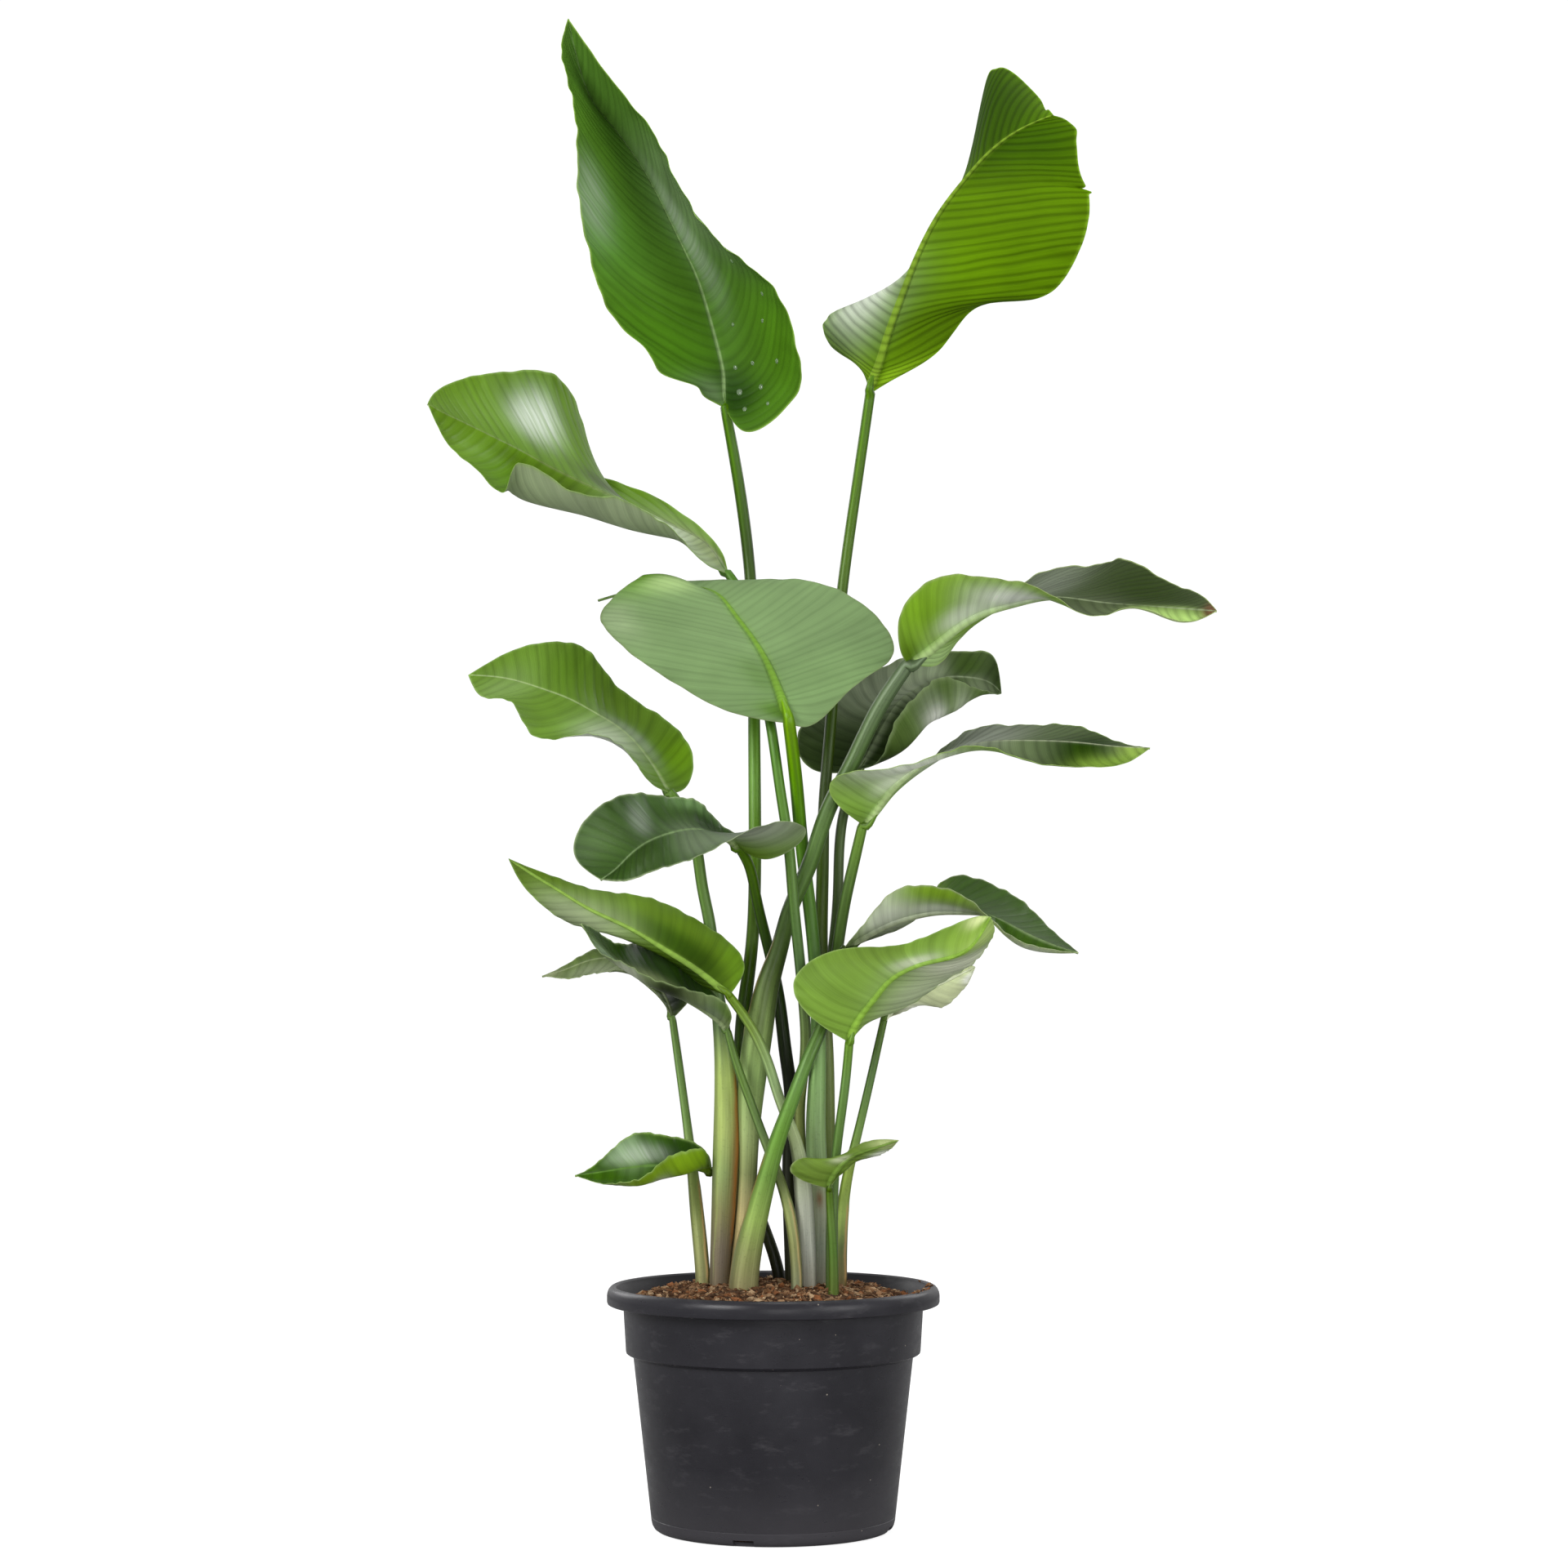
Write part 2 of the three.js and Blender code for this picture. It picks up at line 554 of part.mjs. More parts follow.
// Returns a function of s, 0 at the blade's base to 1 at its tip, and v, -1 on the left margin to 1
// on the right one, that gives the point on the blade's middle surface and the upper normal there
function bladeSurface(leaf) {
  const base = leaf.stem[leaf.stem.length - 1].slice(0, 3);
  const end = (point) => [...point, ...point, ...point, 0, 0];
  const stations = [
    end(base),
    ...leaf.rows.map((row, i) => [...row, leaf.leftCup[i], leaf.rightCup[i]]),
    end(leaf.tip),
  ];
  const knots = [0];
  for (let i = 1; i < stations.length; i += 1) {
    const [from, to] = [stations[i - 1], stations[i]];
    const chords = [0, 3, 6].map((k) => distance(from.slice(k, k + 3), to.slice(k, k + 3)));
    knots.push(knots[i - 1] + (chords[0] + chords[1] + chords[2]) / 3);
  }
  const length = knots[knots.length - 1];
  const curves = naturalSpline(knots.map((knot) => knot / length), stations);
  const ribAt = (s) => new THREE.Vector3(...curves(s).slice(0, 3));
  return (s, v) => {
    const at = curves(s);
    const rib = new THREE.Vector3(...at.slice(0, 3));
    const margin = new THREE.Vector3(...(v < 0 ? at.slice(3, 6) : at.slice(6, 9)));
    const cup = v < 0 ? at[9] : at[10];
    const half = margin.sub(rib);
    const along = ribAt(Math.min(s + RIB_STEP, 1)).sub(ribAt(Math.max(s - RIB_STEP, 0)));
    const upper = half.clone().cross(along).multiplyScalar(v < 0 ? -1 : 1).normalize();
    const w = Math.abs(v);
    const swell = Math.sin(Math.PI * s);
    const turns = MARGIN_WAVES * s + (v < 0 ? 0 : MARGIN_WAVE_SHIFT);
    const wave = leaf.wave * w * w * swell * Math.sin(2 * Math.PI * turns);
    const belly = -4 * w * (1 - w) * Math.max(cup, 0);
    return rib.addScaledVector(half, w).addScaledVector(upper, belly + wave);
  };
}

// The upper normal at a point of the blade, from points close by
function upperNormal(surface, s, v) {
  const step = NORMAL_STEP;
  const along = surface(Math.min(s + step, 1), v).sub(surface(Math.max(s - step, 0), v));
  const across = surface(s, Math.min(v + step, 1)).sub(surface(s, Math.max(v - step, -1)));
  return across.cross(along).normalize();
}

// Where the rows of a blade's solid lie: closer together near the base and the tip
const rowPlace = (i, rows) => {
  const share = FIRST_ROW_SHARE + (1 - 2 * FIRST_ROW_SHARE) * i / rows;
  return 0.5 - 0.5 * Math.cos(Math.PI * share) / Math.cos(Math.PI * FIRST_ROW_SHARE);
};

// The midrib's radius along the blade
const midribRadius = (leaf, s) => THREE.MathUtils
  .lerp(leaf.stem[leaf.stem.length - 1][3], MIDRIB_TIP_RADIUS, Math.sqrt(s));

// Where a row's columns lie: one at the foot of the midrib on each side, the rest evenly out to the
// margin
function columnPlaces(surface, leaf, s) {
  const { halfColumns } = leaf.detail;
  const side = (sign) => {
    const width = surface(s, sign).distanceTo(surface(s, 0));
    const foot = Math.min(MIDRIB_WIDTH_RATIO * midribRadius(leaf, s) / width, MIDRIB_LARGEST_SHARE);
    const place = (k) => sign * (foot + (1 - foot) * k / (halfColumns - 1));
    return Array.from({ length: halfColumns }, (_, k) => place(k));
  };
  return [...side(-1).reverse(), 0, ...side(1)];
}

function bladeGeometry(surface, leaf) {
  const { rows, halfColumns } = leaf.detail;
  const columns = 2 * halfColumns + 1;
  const positions = [];
  const index = [];
  const half = BLADE_THICKNESS / 2;
  const addPair = (s, v, normal, ridge = 0) => {
    const point = surface(s, v);
    positions.push(...point.clone().addScaledVector(normal, half).toArray());
    positions.push(...point.clone().addScaledVector(normal, -half - ridge).toArray());
  };
  addPair(0, 0, upperNormal(surface, 0.03, 0));
  for (let i = 1; i < rows; i += 1) {
    const s = rowPlace(i, rows);
    const ridge = MIDRIB_HEIGHT_RATIO * midribRadius(leaf, s);
    columnPlaces(surface, leaf, s).forEach((v, j) => {
      addPair(s, v, upperNormal(surface, s, v), j === halfColumns ? ridge : 0);
    });
  }
  addPair(1, 0, upperNormal(surface, 0.97, 0));
  const upperAt = (i, j) => {
    if (i === 0) return 0;
    if (i === rows) return 2 * (1 + (rows - 1) * columns);
    return 2 * (1 + (i - 1) * columns + j);
  };
  const addTriangle = (a, b, c) => {
    if (a === b || b === c || c === a) return;
    index.push(a, b, c, a + 1, c + 1, b + 1);
  };
  const addWall = (a, b) => {
    index.push(a, b + 1, a + 1, a, b, b + 1);
  };
  for (let i = 0; i < rows; i += 1) {
    for (let j = 0; j < columns - 1; j += 1) {
      const [a, b] = [upperAt(i, j), upperAt(i, j + 1)];
      const [c, d] = [upperAt(i + 1, j), upperAt(i + 1, j + 1)];
      if (j < halfColumns) {
        addTriangle(a, b, d);
        addTriangle(a, d, c);
      } else {
        addTriangle(a, b, c);
        addTriangle(b, d, c);
      }
    }
    addWall(upperAt(i, 0), upperAt(i + 1, 0));
    addWall(upperAt(i + 1, columns - 1), upperAt(i, columns - 1));
  }
  const geometry = new THREE.BufferGeometry();
  geometry.setAttribute('position', new THREE.Float32BufferAttribute(positions, 3));
  geometry.setIndex(index);
  return geometry;
}

// The petiole from its rooted end up to the blade, where it runs out into the midrib. clearance makes
// it thicker all round, for the hole or the sheath that it stands in.
function petioleGeometry(surface, leaf, clearance) {
  const { stem, detail } = leaf;
  const rooted = [stem[0][0], stem[0][1], ROOTED_HEIGHT, stem[0][3]];
  const stations = [rooted, ...stem];
  const knots = [0];
  for (let i = 1; i < stations.length; i += 1) {
    knots.push(knots[i - 1] + distance(stations[i - 1].slice(0, 3), stations[i].slice(0, 3)));
  }
  const centreLine = naturalSpline(knots, stations);
  const rings = [];
  for (let i = 0; i <= detail.stemRings; i += 1) {
    const [x, y, z, radius] = centreLine(knots[knots.length - 1] * i / detail.stemRings);
    const drop = i === 0 ? clearance : 0;
    rings.push({ centre: new THREE.Vector3(x, y, z - drop), radius: radius + clearance });
  }
  for (const s of [PETIOLE_RUNOUT / 2, PETIOLE_RUNOUT]) {
    const share = 1 - 0.5 * s / PETIOLE_RUNOUT;
    const radius = share * midribRadius(leaf, s);
    const centre = surface(s, 0).addScaledVector(upperNormal(surface, s, 0), -radius * (2 - share));
    rings.push({ centre, radius: radius + clearance });
  }
  return taperedTube(rings, detail.tubeSides);
}

// Leaves

const surfaces = Object.fromEntries(
  Object.entries(LEAVES).map(([name, leaf]) => [name, bladeSurface(leaf)]),
);

const petioleSolid = (name, clearance = 0) => toSolid(
  petioleGeometry(surfaces[name], LEAVES[name], clearance),
);

function leafSolid(name) {
  const blade = toSolid(bladeGeometry(surfaces[name], LEAVES[name]));
  return WRAPPED_SHEATHS
    .filter(([outer]) => outer === name)
    .map(([, inner]) => petioleSolid(inner, SHEATH_GAP))
    .reduce((solid, wrapped) => solid.subtract(wrapped), petioleSolid(name).add(blade));
}

// Pot

const points2 = (pairs) => pairs.map(([r, z]) => new THREE.Vector2(r, z));

// The pot's wall, turned from its section, with drain slots that are open at the underside
function potSolid() {
  const outside = [
    [0, 0], [BASE_RADIUS - BASE_CORNER, 0],
    [BASE_RADIUS - BASE_CORNER_MIDDLE.inset, BASE_CORNER_MIDDLE.rise],
    [BASE_RADIUS, BASE_CORNER],
    [BODY_TOP_RADIUS, BODY_TOP],
    [COLLAR_FOOT_RADIUS, COLLAR_FOOT],
    [COLLAR_RADIUS, RIM_UNDERSIDE],
    [RIM_RADIUS - RIM_EASING, RIM_UNDERSIDE],
    [RIM_RADIUS, RIM_UNDERSIDE + RIM_EASING],
    [RIM_RADIUS, POT_HEIGHT - RIM_SHOULDER],
    [RIM_TOP_RADIUS + RIM_EASING, POT_HEIGHT - RIM_EASING / 2],
    [RIM_TOP_RADIUS, POT_HEIGHT],
  ];
  const inside = [
    [RIM_TOP_RADIUS - RIM_LIP / 2, POT_HEIGHT - RIM_EASING / 2],
    [RIM_TOP_RADIUS - RIM_LIP, POT_HEIGHT - RIM_LIP],
    [COLLAR_RADIUS - POT_WALL, RIM_UNDERSIDE - RIM_EASING],
    [COLLAR_FOOT_RADIUS - POT_WALL, COLLAR_FOOT + 1],
    [BODY_TOP_RADIUS - POT_WALL, BODY_TOP + 1],
    [BASE_RADIUS - POT_WALL, BASE_CORNER],
    [BASE_RADIUS - BASE_CORNER, POT_WALL],
    [0, POT_WALL],
  ];
  const shell = toSolid(new THREE.LatheGeometry(points2([...outside, ...inside]), POT_SEGMENTS)
    .rotateX(Math.PI / 2));
  const slots = [];
  for (let i = 0; i < DRAIN_SLOTS; i += 1) {
    const angle = THREE.MathUtils.degToRad(DRAIN_SLOT_FIRST_ANGLE + 360 * i / DRAIN_SLOTS);
    const slot = new THREE.BoxGeometry(DRAIN_SLOT_DEPTH, DRAIN_SLOT_WIDTH, 2 * DRAIN_SLOT_HEIGHT)
      .translate(BASE_RADIUS, 0, 0)
      .rotateZ(angle);
    slots.push(toSolid(slot));
  }
  return slots.reduce((solid, slot) => solid.subtract(slot), shell);
}

// Soil

function soilSolid() {
  const gap = SOIL_GAP;
  const profile = [
    [0, POT_WALL + gap],
    [BASE_RADIUS - BASE_CORNER - gap, POT_WALL + gap],
    [BASE_RADIUS - POT_WALL - gap, BASE_CORNER + gap],
    [BODY_TOP_RADIUS - POT_WALL - gap, BODY_TOP + 1 + gap],
    [COLLAR_FOOT_RADIUS - POT_WALL - gap, COLLAR_FOOT + 1 + gap],
    [COLLAR_RADIUS - POT_WALL - gap, RIM_UNDERSIDE - RIM_EASING],
    [COLLAR_RADIUS - POT_WALL - gap, SOIL_EDGE_HEIGHT - 1.5],
    [COLLAR_RADIUS - POT_WALL - 5, SOIL_EDGE_HEIGHT],
    ...SOIL_MOUND,
    [0, SOIL_CROWN_HEIGHT],
  ];
  const geometry = new THREE.LatheGeometry(points2(profile), POT_SEGMENTS).rotateX(Math.PI / 2);
  const position = geometry.attributes.position;
  for (let i = 0; i < position.count; i += 1) {
    const [x, y, z] = [position.getX(i), position.getY(i), position.getZ(i)];
    const fromWall = COLLAR_RADIUS - Math.hypot(x, y);
    if (z > SOIL_EDGE_HEIGHT && fromWall > SOIL_LEVEL_MARGIN) {
      const [across, along] = [SOIL_BUMP_WAVES.across, SOIL_BUMP_WAVES.along];
      const bump = Math.sin(x * across[0] + y * across[1]) * Math.cos(x * along[0] + y * along[1]);
      position.setZ(i, z + SOIL_UNEVENNESS * bump);
    }
  }
  return Object.keys(LEAVES)
    .reduce((solid, name) => solid.subtract(petioleSolid(name, HOLE_CLEARANCE)), toSolid(geometry));
}

// Assembly

const plant = new THREE.Group();
plant.name = 'potted_white_bird_of_paradise';
plant.add(toMesh('pot', potSolid(), POT_PLASTIC));
plant.add(toMesh('soil', soilSolid(), SOIL_CRUMB));
for (const name of Object.keys(LEAVES)) {
  plant.add(toMesh(name, leafSolid(name), LEAF_GREENS[name]));
}

export default plant;
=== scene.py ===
"""The finished looks of a potted white bird of paradise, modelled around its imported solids.

The stations of the leaves repeat those of the solids. Leaves, pot and soil are sized in
millimetres; the finishes' patterns and the studio are sized in metres.
"""

import logging
import math
import random
from dataclasses import dataclass
from enum import Enum

import bpy
import numpy as np
from mathutils import Matrix, Vector, noise

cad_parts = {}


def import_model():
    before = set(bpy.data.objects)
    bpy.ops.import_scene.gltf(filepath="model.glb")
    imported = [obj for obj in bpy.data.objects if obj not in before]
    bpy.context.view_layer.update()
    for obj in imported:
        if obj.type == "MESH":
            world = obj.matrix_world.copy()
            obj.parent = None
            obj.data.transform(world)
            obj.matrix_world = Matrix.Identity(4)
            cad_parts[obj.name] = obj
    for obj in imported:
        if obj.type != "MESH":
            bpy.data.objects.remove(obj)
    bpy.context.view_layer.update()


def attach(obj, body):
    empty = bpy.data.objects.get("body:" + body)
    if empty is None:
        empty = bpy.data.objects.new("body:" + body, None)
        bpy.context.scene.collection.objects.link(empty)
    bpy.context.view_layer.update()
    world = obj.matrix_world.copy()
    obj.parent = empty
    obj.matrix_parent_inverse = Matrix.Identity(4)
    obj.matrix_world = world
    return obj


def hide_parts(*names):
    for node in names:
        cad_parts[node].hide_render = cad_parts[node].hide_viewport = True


LOG = logging.getLogger("potted_plant")
MM = 0.001
BODY = "root"
PLACE = "leaf_place"
TONE = "leaf_tone"
# The amount of painted pale sheen, a painted highlight on the blade.
PAINTED_SHEEN = "leaf_painted_sheen"
CRUMB_TONE = "crumb_tone"

# Nearly all of a noise pattern lies between these two values.
NOISE_LOW = 0.3
NOISE_HIGH = 0.7

Rgb = tuple[int, int, int]
Numbers = tuple[float, ...]


class Face(Enum):
    """The two faces of a blade, with the sign of their side of its middle surface."""

    UPPER = 1
    UNDER = -1


class Slot(Enum):
    """The material slots that the record names."""

    POT = "pot_plastic"
    SOIL = "soil"
    LEAF = "leaf"


def linear(color: Rgb) -> np.ndarray:
    """Turns a colour in steps of 0 to 255 into linear light.

    Args:
        color: Red, green and blue as seen on a screen.

    Returns:
        Three numbers from 0 to 1.
    """
    seen = np.array(color, float) / 255
    return np.where(seen <= 0.04045, seen / 12.92, ((seen + 0.055) / 1.055) ** 2.4)


def paint(color: Rgb) -> tuple[float, float, float, float]:
    """The same colour as a shader socket takes it."""
    return (*linear(color).tolist(), 1.0)


def blend(under: np.ndarray, over: np.ndarray, amount: np.ndarray) -> np.ndarray:
    """Lays one colour over others.

    Args:
        under: Colours, one a row.
        over: One colour, or one for each row.
        amount: How much of it shows, 0 to 1, for each row.

    Returns:
        The blended colours.
    """
    share = np.clip(amount, 0, 1)[..., None]
    return under * (1 - share) + over * share


class Nodes:
    """A node tree, with short calls that add nodes and join them."""

    def __init__(self, tree: bpy.types.NodeTree) -> None:
        """Keeps the tree."""
        self.tree = tree

    def join(self, source: bpy.types.NodeSocket, target: bpy.types.NodeSocket) -> None:
        """Links one socket to another."""
        self.tree.links.new(source, target)

    def add(self, kind: str, **settings: object) -> bpy.types.Node:
        """Adds a node and sets its properties."""
        node = self.tree.nodes.new(kind)
        for key, value in settings.items():
            setattr(node, key, value)
        return node

    def feed(self, socket: bpy.types.NodeSocket, value: object) -> None:
        """Gives a socket a number, or links it if the value is a socket."""
        if isinstance(value, bpy.types.NodeSocket):
            self.join(value, socket)
        else:
            socket.default_value = value

    def attribute(self, name: str, output: str) -> bpy.types.NodeSocket:
        """Reads an attribute that the mesh carries."""
        return self.add("ShaderNodeAttribute", attribute_name=name).outputs[output]

    def object_place(self) -> bpy.types.NodeSocket:
        """The place in the object's own frame, in metres."""
        return self.add("ShaderNodeTexCoord").outputs["Object"]

    def axis(self, place: bpy.types.NodeSocket, name: str) -> bpy.types.NodeSocket:
        """One coordinate of a place."""
        node = self.add("ShaderNodeSeparateXYZ")
        self.join(place, node.inputs[0])
        return node.outputs[name]

    def scaled(self, place: bpy.types.NodeSocket, by: Numbers) -> bpy.types.NodeSocket:
        """Stretches a place differently along its three axes."""
        node = self.add("ShaderNodeVectorMath", operation="MULTIPLY")
        self.join(place, node.inputs[0])
        node.inputs[1].default_value = by
        return node.outputs[0]

    def noise(self, place: bpy.types.NodeSocket, scale: float, detail: float = 2.0,
              rough: float = 0.5) -> bpy.types.NodeSocket:
        """Soft noise around a half."""
        node = self.add("ShaderNodeTexNoise")
        self.join(place, node.inputs["Vector"])
        node.inputs["Scale"].default_value = scale
        node.inputs["Detail"].default_value = detail
        node.inputs["Roughness"].default_value = rough
        return node.outputs["Fac"]

    def math(self, operation: str, first: object, second: object = 0.0,
             clamp: bool = False) -> bpy.types.NodeSocket:
        """One step of arithmetic."""
        node = self.add("ShaderNodeMath", operation=operation, use_clamp=clamp)
        self.feed(node.inputs[0], first)
        self.feed(node.inputs[1], second)
        return node.outputs[0]

    def product(self, *factors: bpy.types.NodeSocket) -> bpy.types.NodeSocket:
        """Multiplies factors, from the first to the last."""
        total = factors[0]
        for factor in factors[1:]:
            total = self.math("MULTIPLY", total, factor)
        return total

    def dimmed(self, color: bpy.types.NodeSocket, factor: bpy.types.NodeSocket) -> bpy.types.NodeSocket:
        """Multiplies a colour by a factor."""
        node = self.add("ShaderNodeVectorMath", operation="SCALE")
        self.join(color, node.inputs[0])
        self.join(factor, node.inputs["Scale"])
        return node.outputs[0]

    def swing(self, value: bpy.types.NodeSocket, contrast: float, low: float = 0.0,
              high: float = 1.0) -> bpy.types.NodeSocket:
        """Maps a range to factors on both sides of one."""
        return self.spread(value, low, high, 1 - contrast, 1 + contrast)

    def spread(self, value: bpy.types.NodeSocket, low: float, high: float, to_low: float,
               to_high: float) -> bpy.types.NodeSocket:
        """Maps one range to another and holds it there."""
        node = self.add("ShaderNodeMapRange")
        self.join(value, node.inputs["Value"])
        for key, number in (("From Min", low), ("From Max", high), ("To Min", to_low), ("To Max", to_high)):
            node.inputs[key].default_value = number
        return node.outputs["Result"]

    def mixed(self, factor: object, first: object, second: object, kind: str = "MIX") -> bpy.types.NodeSocket:
        """Mixes two colours."""
        node = self.add("ShaderNodeMix", data_type="RGBA", blend_type=kind, clamp_factor=True)
        self.feed(node.inputs[0], factor)
        self.feed(node.inputs[6], first)
        self.feed(node.inputs[7], second)
        return node.outputs[2]

    def relief(self, height: bpy.types.NodeSocket, depth: float,
               below: bpy.types.NodeSocket | None = None) -> bpy.types.NodeSocket:
        """Turns a height from 0 to 1 into relief of that depth in metres."""
        node = self.add("ShaderNodeBump")
        node.inputs["Strength"].default_value = 1.0
        node.inputs["Distance"].default_value = depth
        self.join(height, node.inputs["Height"])
        if below is not None:
            self.join(below, node.inputs["Normal"])
        return node.outputs["Normal"]


class Shader(Nodes):
    """A material with one surface shader and its node tree."""

    def __init__(self, name: str) -> None:
        """Makes an empty node material."""
        self.material = bpy.data.materials.new(name)
        self.material.use_nodes = True
        super().__init__(self.material.node_tree)
        self.surface = next(n for n in self.tree.nodes if n.type == "BSDF_PRINCIPLED")

    def finished(self, **values: object) -> bpy.types.Material:
        """Sets or joins sockets of the surface shader.

        Args:
            values: Numbers, colours or sockets, by socket name with underscores for spaces.

        Returns:
            The material.
        """
        for key, value in values.items():
            self.feed(self.surface.inputs[key.replace("_", " ")], value)
        return self.material


@dataclass(frozen=True)
class BladeFinish:
    """One face of a leaf's blade: fine veins that run out from the midrib, over low broad ribs."""

    name: str
    roughness: float
    coat: float
    rib_spacing: float
    rib_depth: float
    rib_contrast: float
    vein_depth: float
    vein_contrast: float
    specular: float
    # The pale colour of the painted sheen, a painted highlight.
    painted_sheen_color: Rgb = (214, 222, 212)
    band_contrast: float = 0.16

    DRIFT_SCALE = 22.0
    DRIFT_REACH = 0.004
    RIB_SWAY = 9.0
    FURROW_SHARPNESS = 2.4
    VEIN_STRETCH = (900.0, 7.0, 0.0)
    BAND_STRETCH = (38.0, 2.5, 0.0)
    STREAK_STRETCH = (260.0, 5.0, 0.0)
    CLOUD_SCALE = 16.0
    CLOUD_CONTRAST = 0.1
    GRAIN_SCALE = 1500.0
    GRAIN_DEPTH = 0.00002
    COAT_ROUGHNESS = 0.22

    def drifted(self, shader: Shader, here: bpy.types.NodeSocket) -> bpy.types.NodeSocket:
        """The place on the blade, pushed to and fro along it so that veins aren't quite even."""
        drift = shader.add("ShaderNodeTexNoise")
        shader.join(here, drift.inputs["Vector"])
        drift.inputs["Scale"].default_value = self.DRIFT_SCALE
        drift.inputs["Detail"].default_value = 1.0
        pushed = shader.add("ShaderNodeVectorMath", operation="MULTIPLY_ADD")
        shader.join(drift.outputs["Color"], pushed.inputs[0])
        pushed.inputs[1].default_value = (self.DRIFT_REACH, 0.0, 0.0)
        shader.join(shader.attribute(PLACE, "Vector"), pushed.inputs[2])
        return pushed.outputs[0]

    def ribs(self, shader: Shader, along: bpy.types.NodeSocket) -> bpy.types.NodeSocket:
        """Low rounded ribs side by side, 0 in the thin furrows between them."""
        sway = shader.noise(shader.scaled(along, (0.3 / self.rib_spacing, 3.0, 0.0)), 1.0, 1.0)
        phase = shader.math("MULTIPLY", shader.axis(along, "X"), 2 * math.pi / self.rib_spacing)
        phase = shader.math("ADD", phase, shader.math("MULTIPLY", sway, self.RIB_SWAY))
        furrow = shader.spread(shader.math("SINE", phase), -1.0, 1.0, 1.0, 0.0)
        return shader.math("SUBTRACT", 1.0, shader.math("POWER", furrow, self.FURROW_SHARPNESS))

    def material(self) -> bpy.types.Material:
        """Builds the material, which reads the blade's place, tone and painted sheen attributes."""
        shader = Shader(self.name)
        here = shader.object_place()
        along = self.drifted(shader, here)
        ribs = self.ribs(shader, along)
        veins = shader.noise(shader.scaled(along, self.VEIN_STRETCH), 1.0, 2.0, 0.6)
        veins = shader.spread(veins, NOISE_LOW, NOISE_HIGH, 0.0, 1.0)
        patchy = shader.noise(here, self.CLOUD_SCALE, 3.0)
        bands = shader.noise(shader.scaled(along, self.BAND_STRETCH), 1.0, 2.0, 0.6)
        factor = shader.product(
            shader.swing(ribs, self.rib_contrast),
            shader.swing(veins, self.vein_contrast),
            shader.swing(patchy, self.CLOUD_CONTRAST, NOISE_LOW, NOISE_HIGH),
            shader.swing(bands, self.band_contrast, 0.32, 0.68),
        )
        # Painted highlight: the painted sheen, broken into streaks along the veins, pales the colour.
        streak = shader.noise(shader.scaled(along, self.STREAK_STRETCH), 1.0, 3.0, 0.6)
        streak = shader.spread(streak, NOISE_LOW, 0.66, 0.4, 1.0)
        sheen = shader.math("MULTIPLY", shader.attribute(PAINTED_SHEEN, "Fac"), streak, clamp=True)
        color = shader.dimmed(shader.attribute(TONE, "Color"), factor)
        rough = shader.spread(patchy, NOISE_LOW, NOISE_HIGH, self.roughness - 0.05, self.roughness + 0.06)
        grain = shader.relief(shader.noise(here, self.GRAIN_SCALE, 1.0), self.GRAIN_DEPTH)
        fine = shader.relief(veins, self.vein_depth, grain)
        return shader.finished(
            Base_Color=shader.mixed(sheen, color, paint(self.painted_sheen_color)),
            Roughness=rough,
            Normal=shader.relief(ribs, self.rib_depth, fine),
            Coat_Weight=self.coat,
            Coat_Roughness=self.COAT_ROUGHNESS,
            Specular_IOR_Level=self.specular,
        )


@dataclass(frozen=True)
class StalkFinish:
    """A petiole or sheath: smooth, with long fine fibres along it."""

    name: str = "leaf_stalk"
    roughness: float = 0.34
    coat: float = 0.08
    coat_roughness: float = 0.2
    streak_contrast: float = 0.16
    cloud_contrast: float = 0.14
    specular: float = 0.22
    saturation: float = 1.2
    value: float = 0.86

    def material(self) -> bpy.types.Material:
        """Builds the material, which reads the stalk's place and tone attributes."""
        shader = Shader(self.name)
        place = shader.attribute(PLACE, "Vector")
        fibres = shader.noise(shader.scaled(place, (9.0, 9.0, 14.0)), 1.0, 3.0, 0.6)
        fibres = shader.spread(fibres, NOISE_LOW, NOISE_HIGH, 0.0, 1.0)
        broad = shader.noise(shader.scaled(place, (2.2, 2.2, 9.0)), 1.0, 2.0)
        flecks = shader.noise(shader.object_place(), 420.0, 2.0)
        factor = shader.product(
            shader.swing(fibres, self.streak_contrast),
            shader.swing(broad, self.cloud_contrast, NOISE_LOW, NOISE_HIGH),
            shader.spread(flecks, NOISE_LOW, 0.4, 0.86, 1.0),
        )
        deeper = shader.add("ShaderNodeHueSaturation")
        deeper.inputs["Saturation"].default_value = self.saturation
        deeper.inputs["Value"].default_value = self.value
        shader.join(shader.dimmed(shader.attribute(TONE, "Color"), factor), deeper.inputs["Color"])
        grain = shader.relief(flecks, 0.00004)
        rough = shader.spread(broad, NOISE_LOW, NOISE_HIGH, self.roughness - 0.05, self.roughness + 0.08)
        return shader.finished(
            Base_Color=deeper.outputs["Color"],
            Roughness=rough,
            Normal=shader.relief(fibres, 0.00012, grain),
            Coat_Weight=self.coat,
            Coat_Roughness=self.coat_roughness,
            Specular_IOR_Level=self.specular,
        )


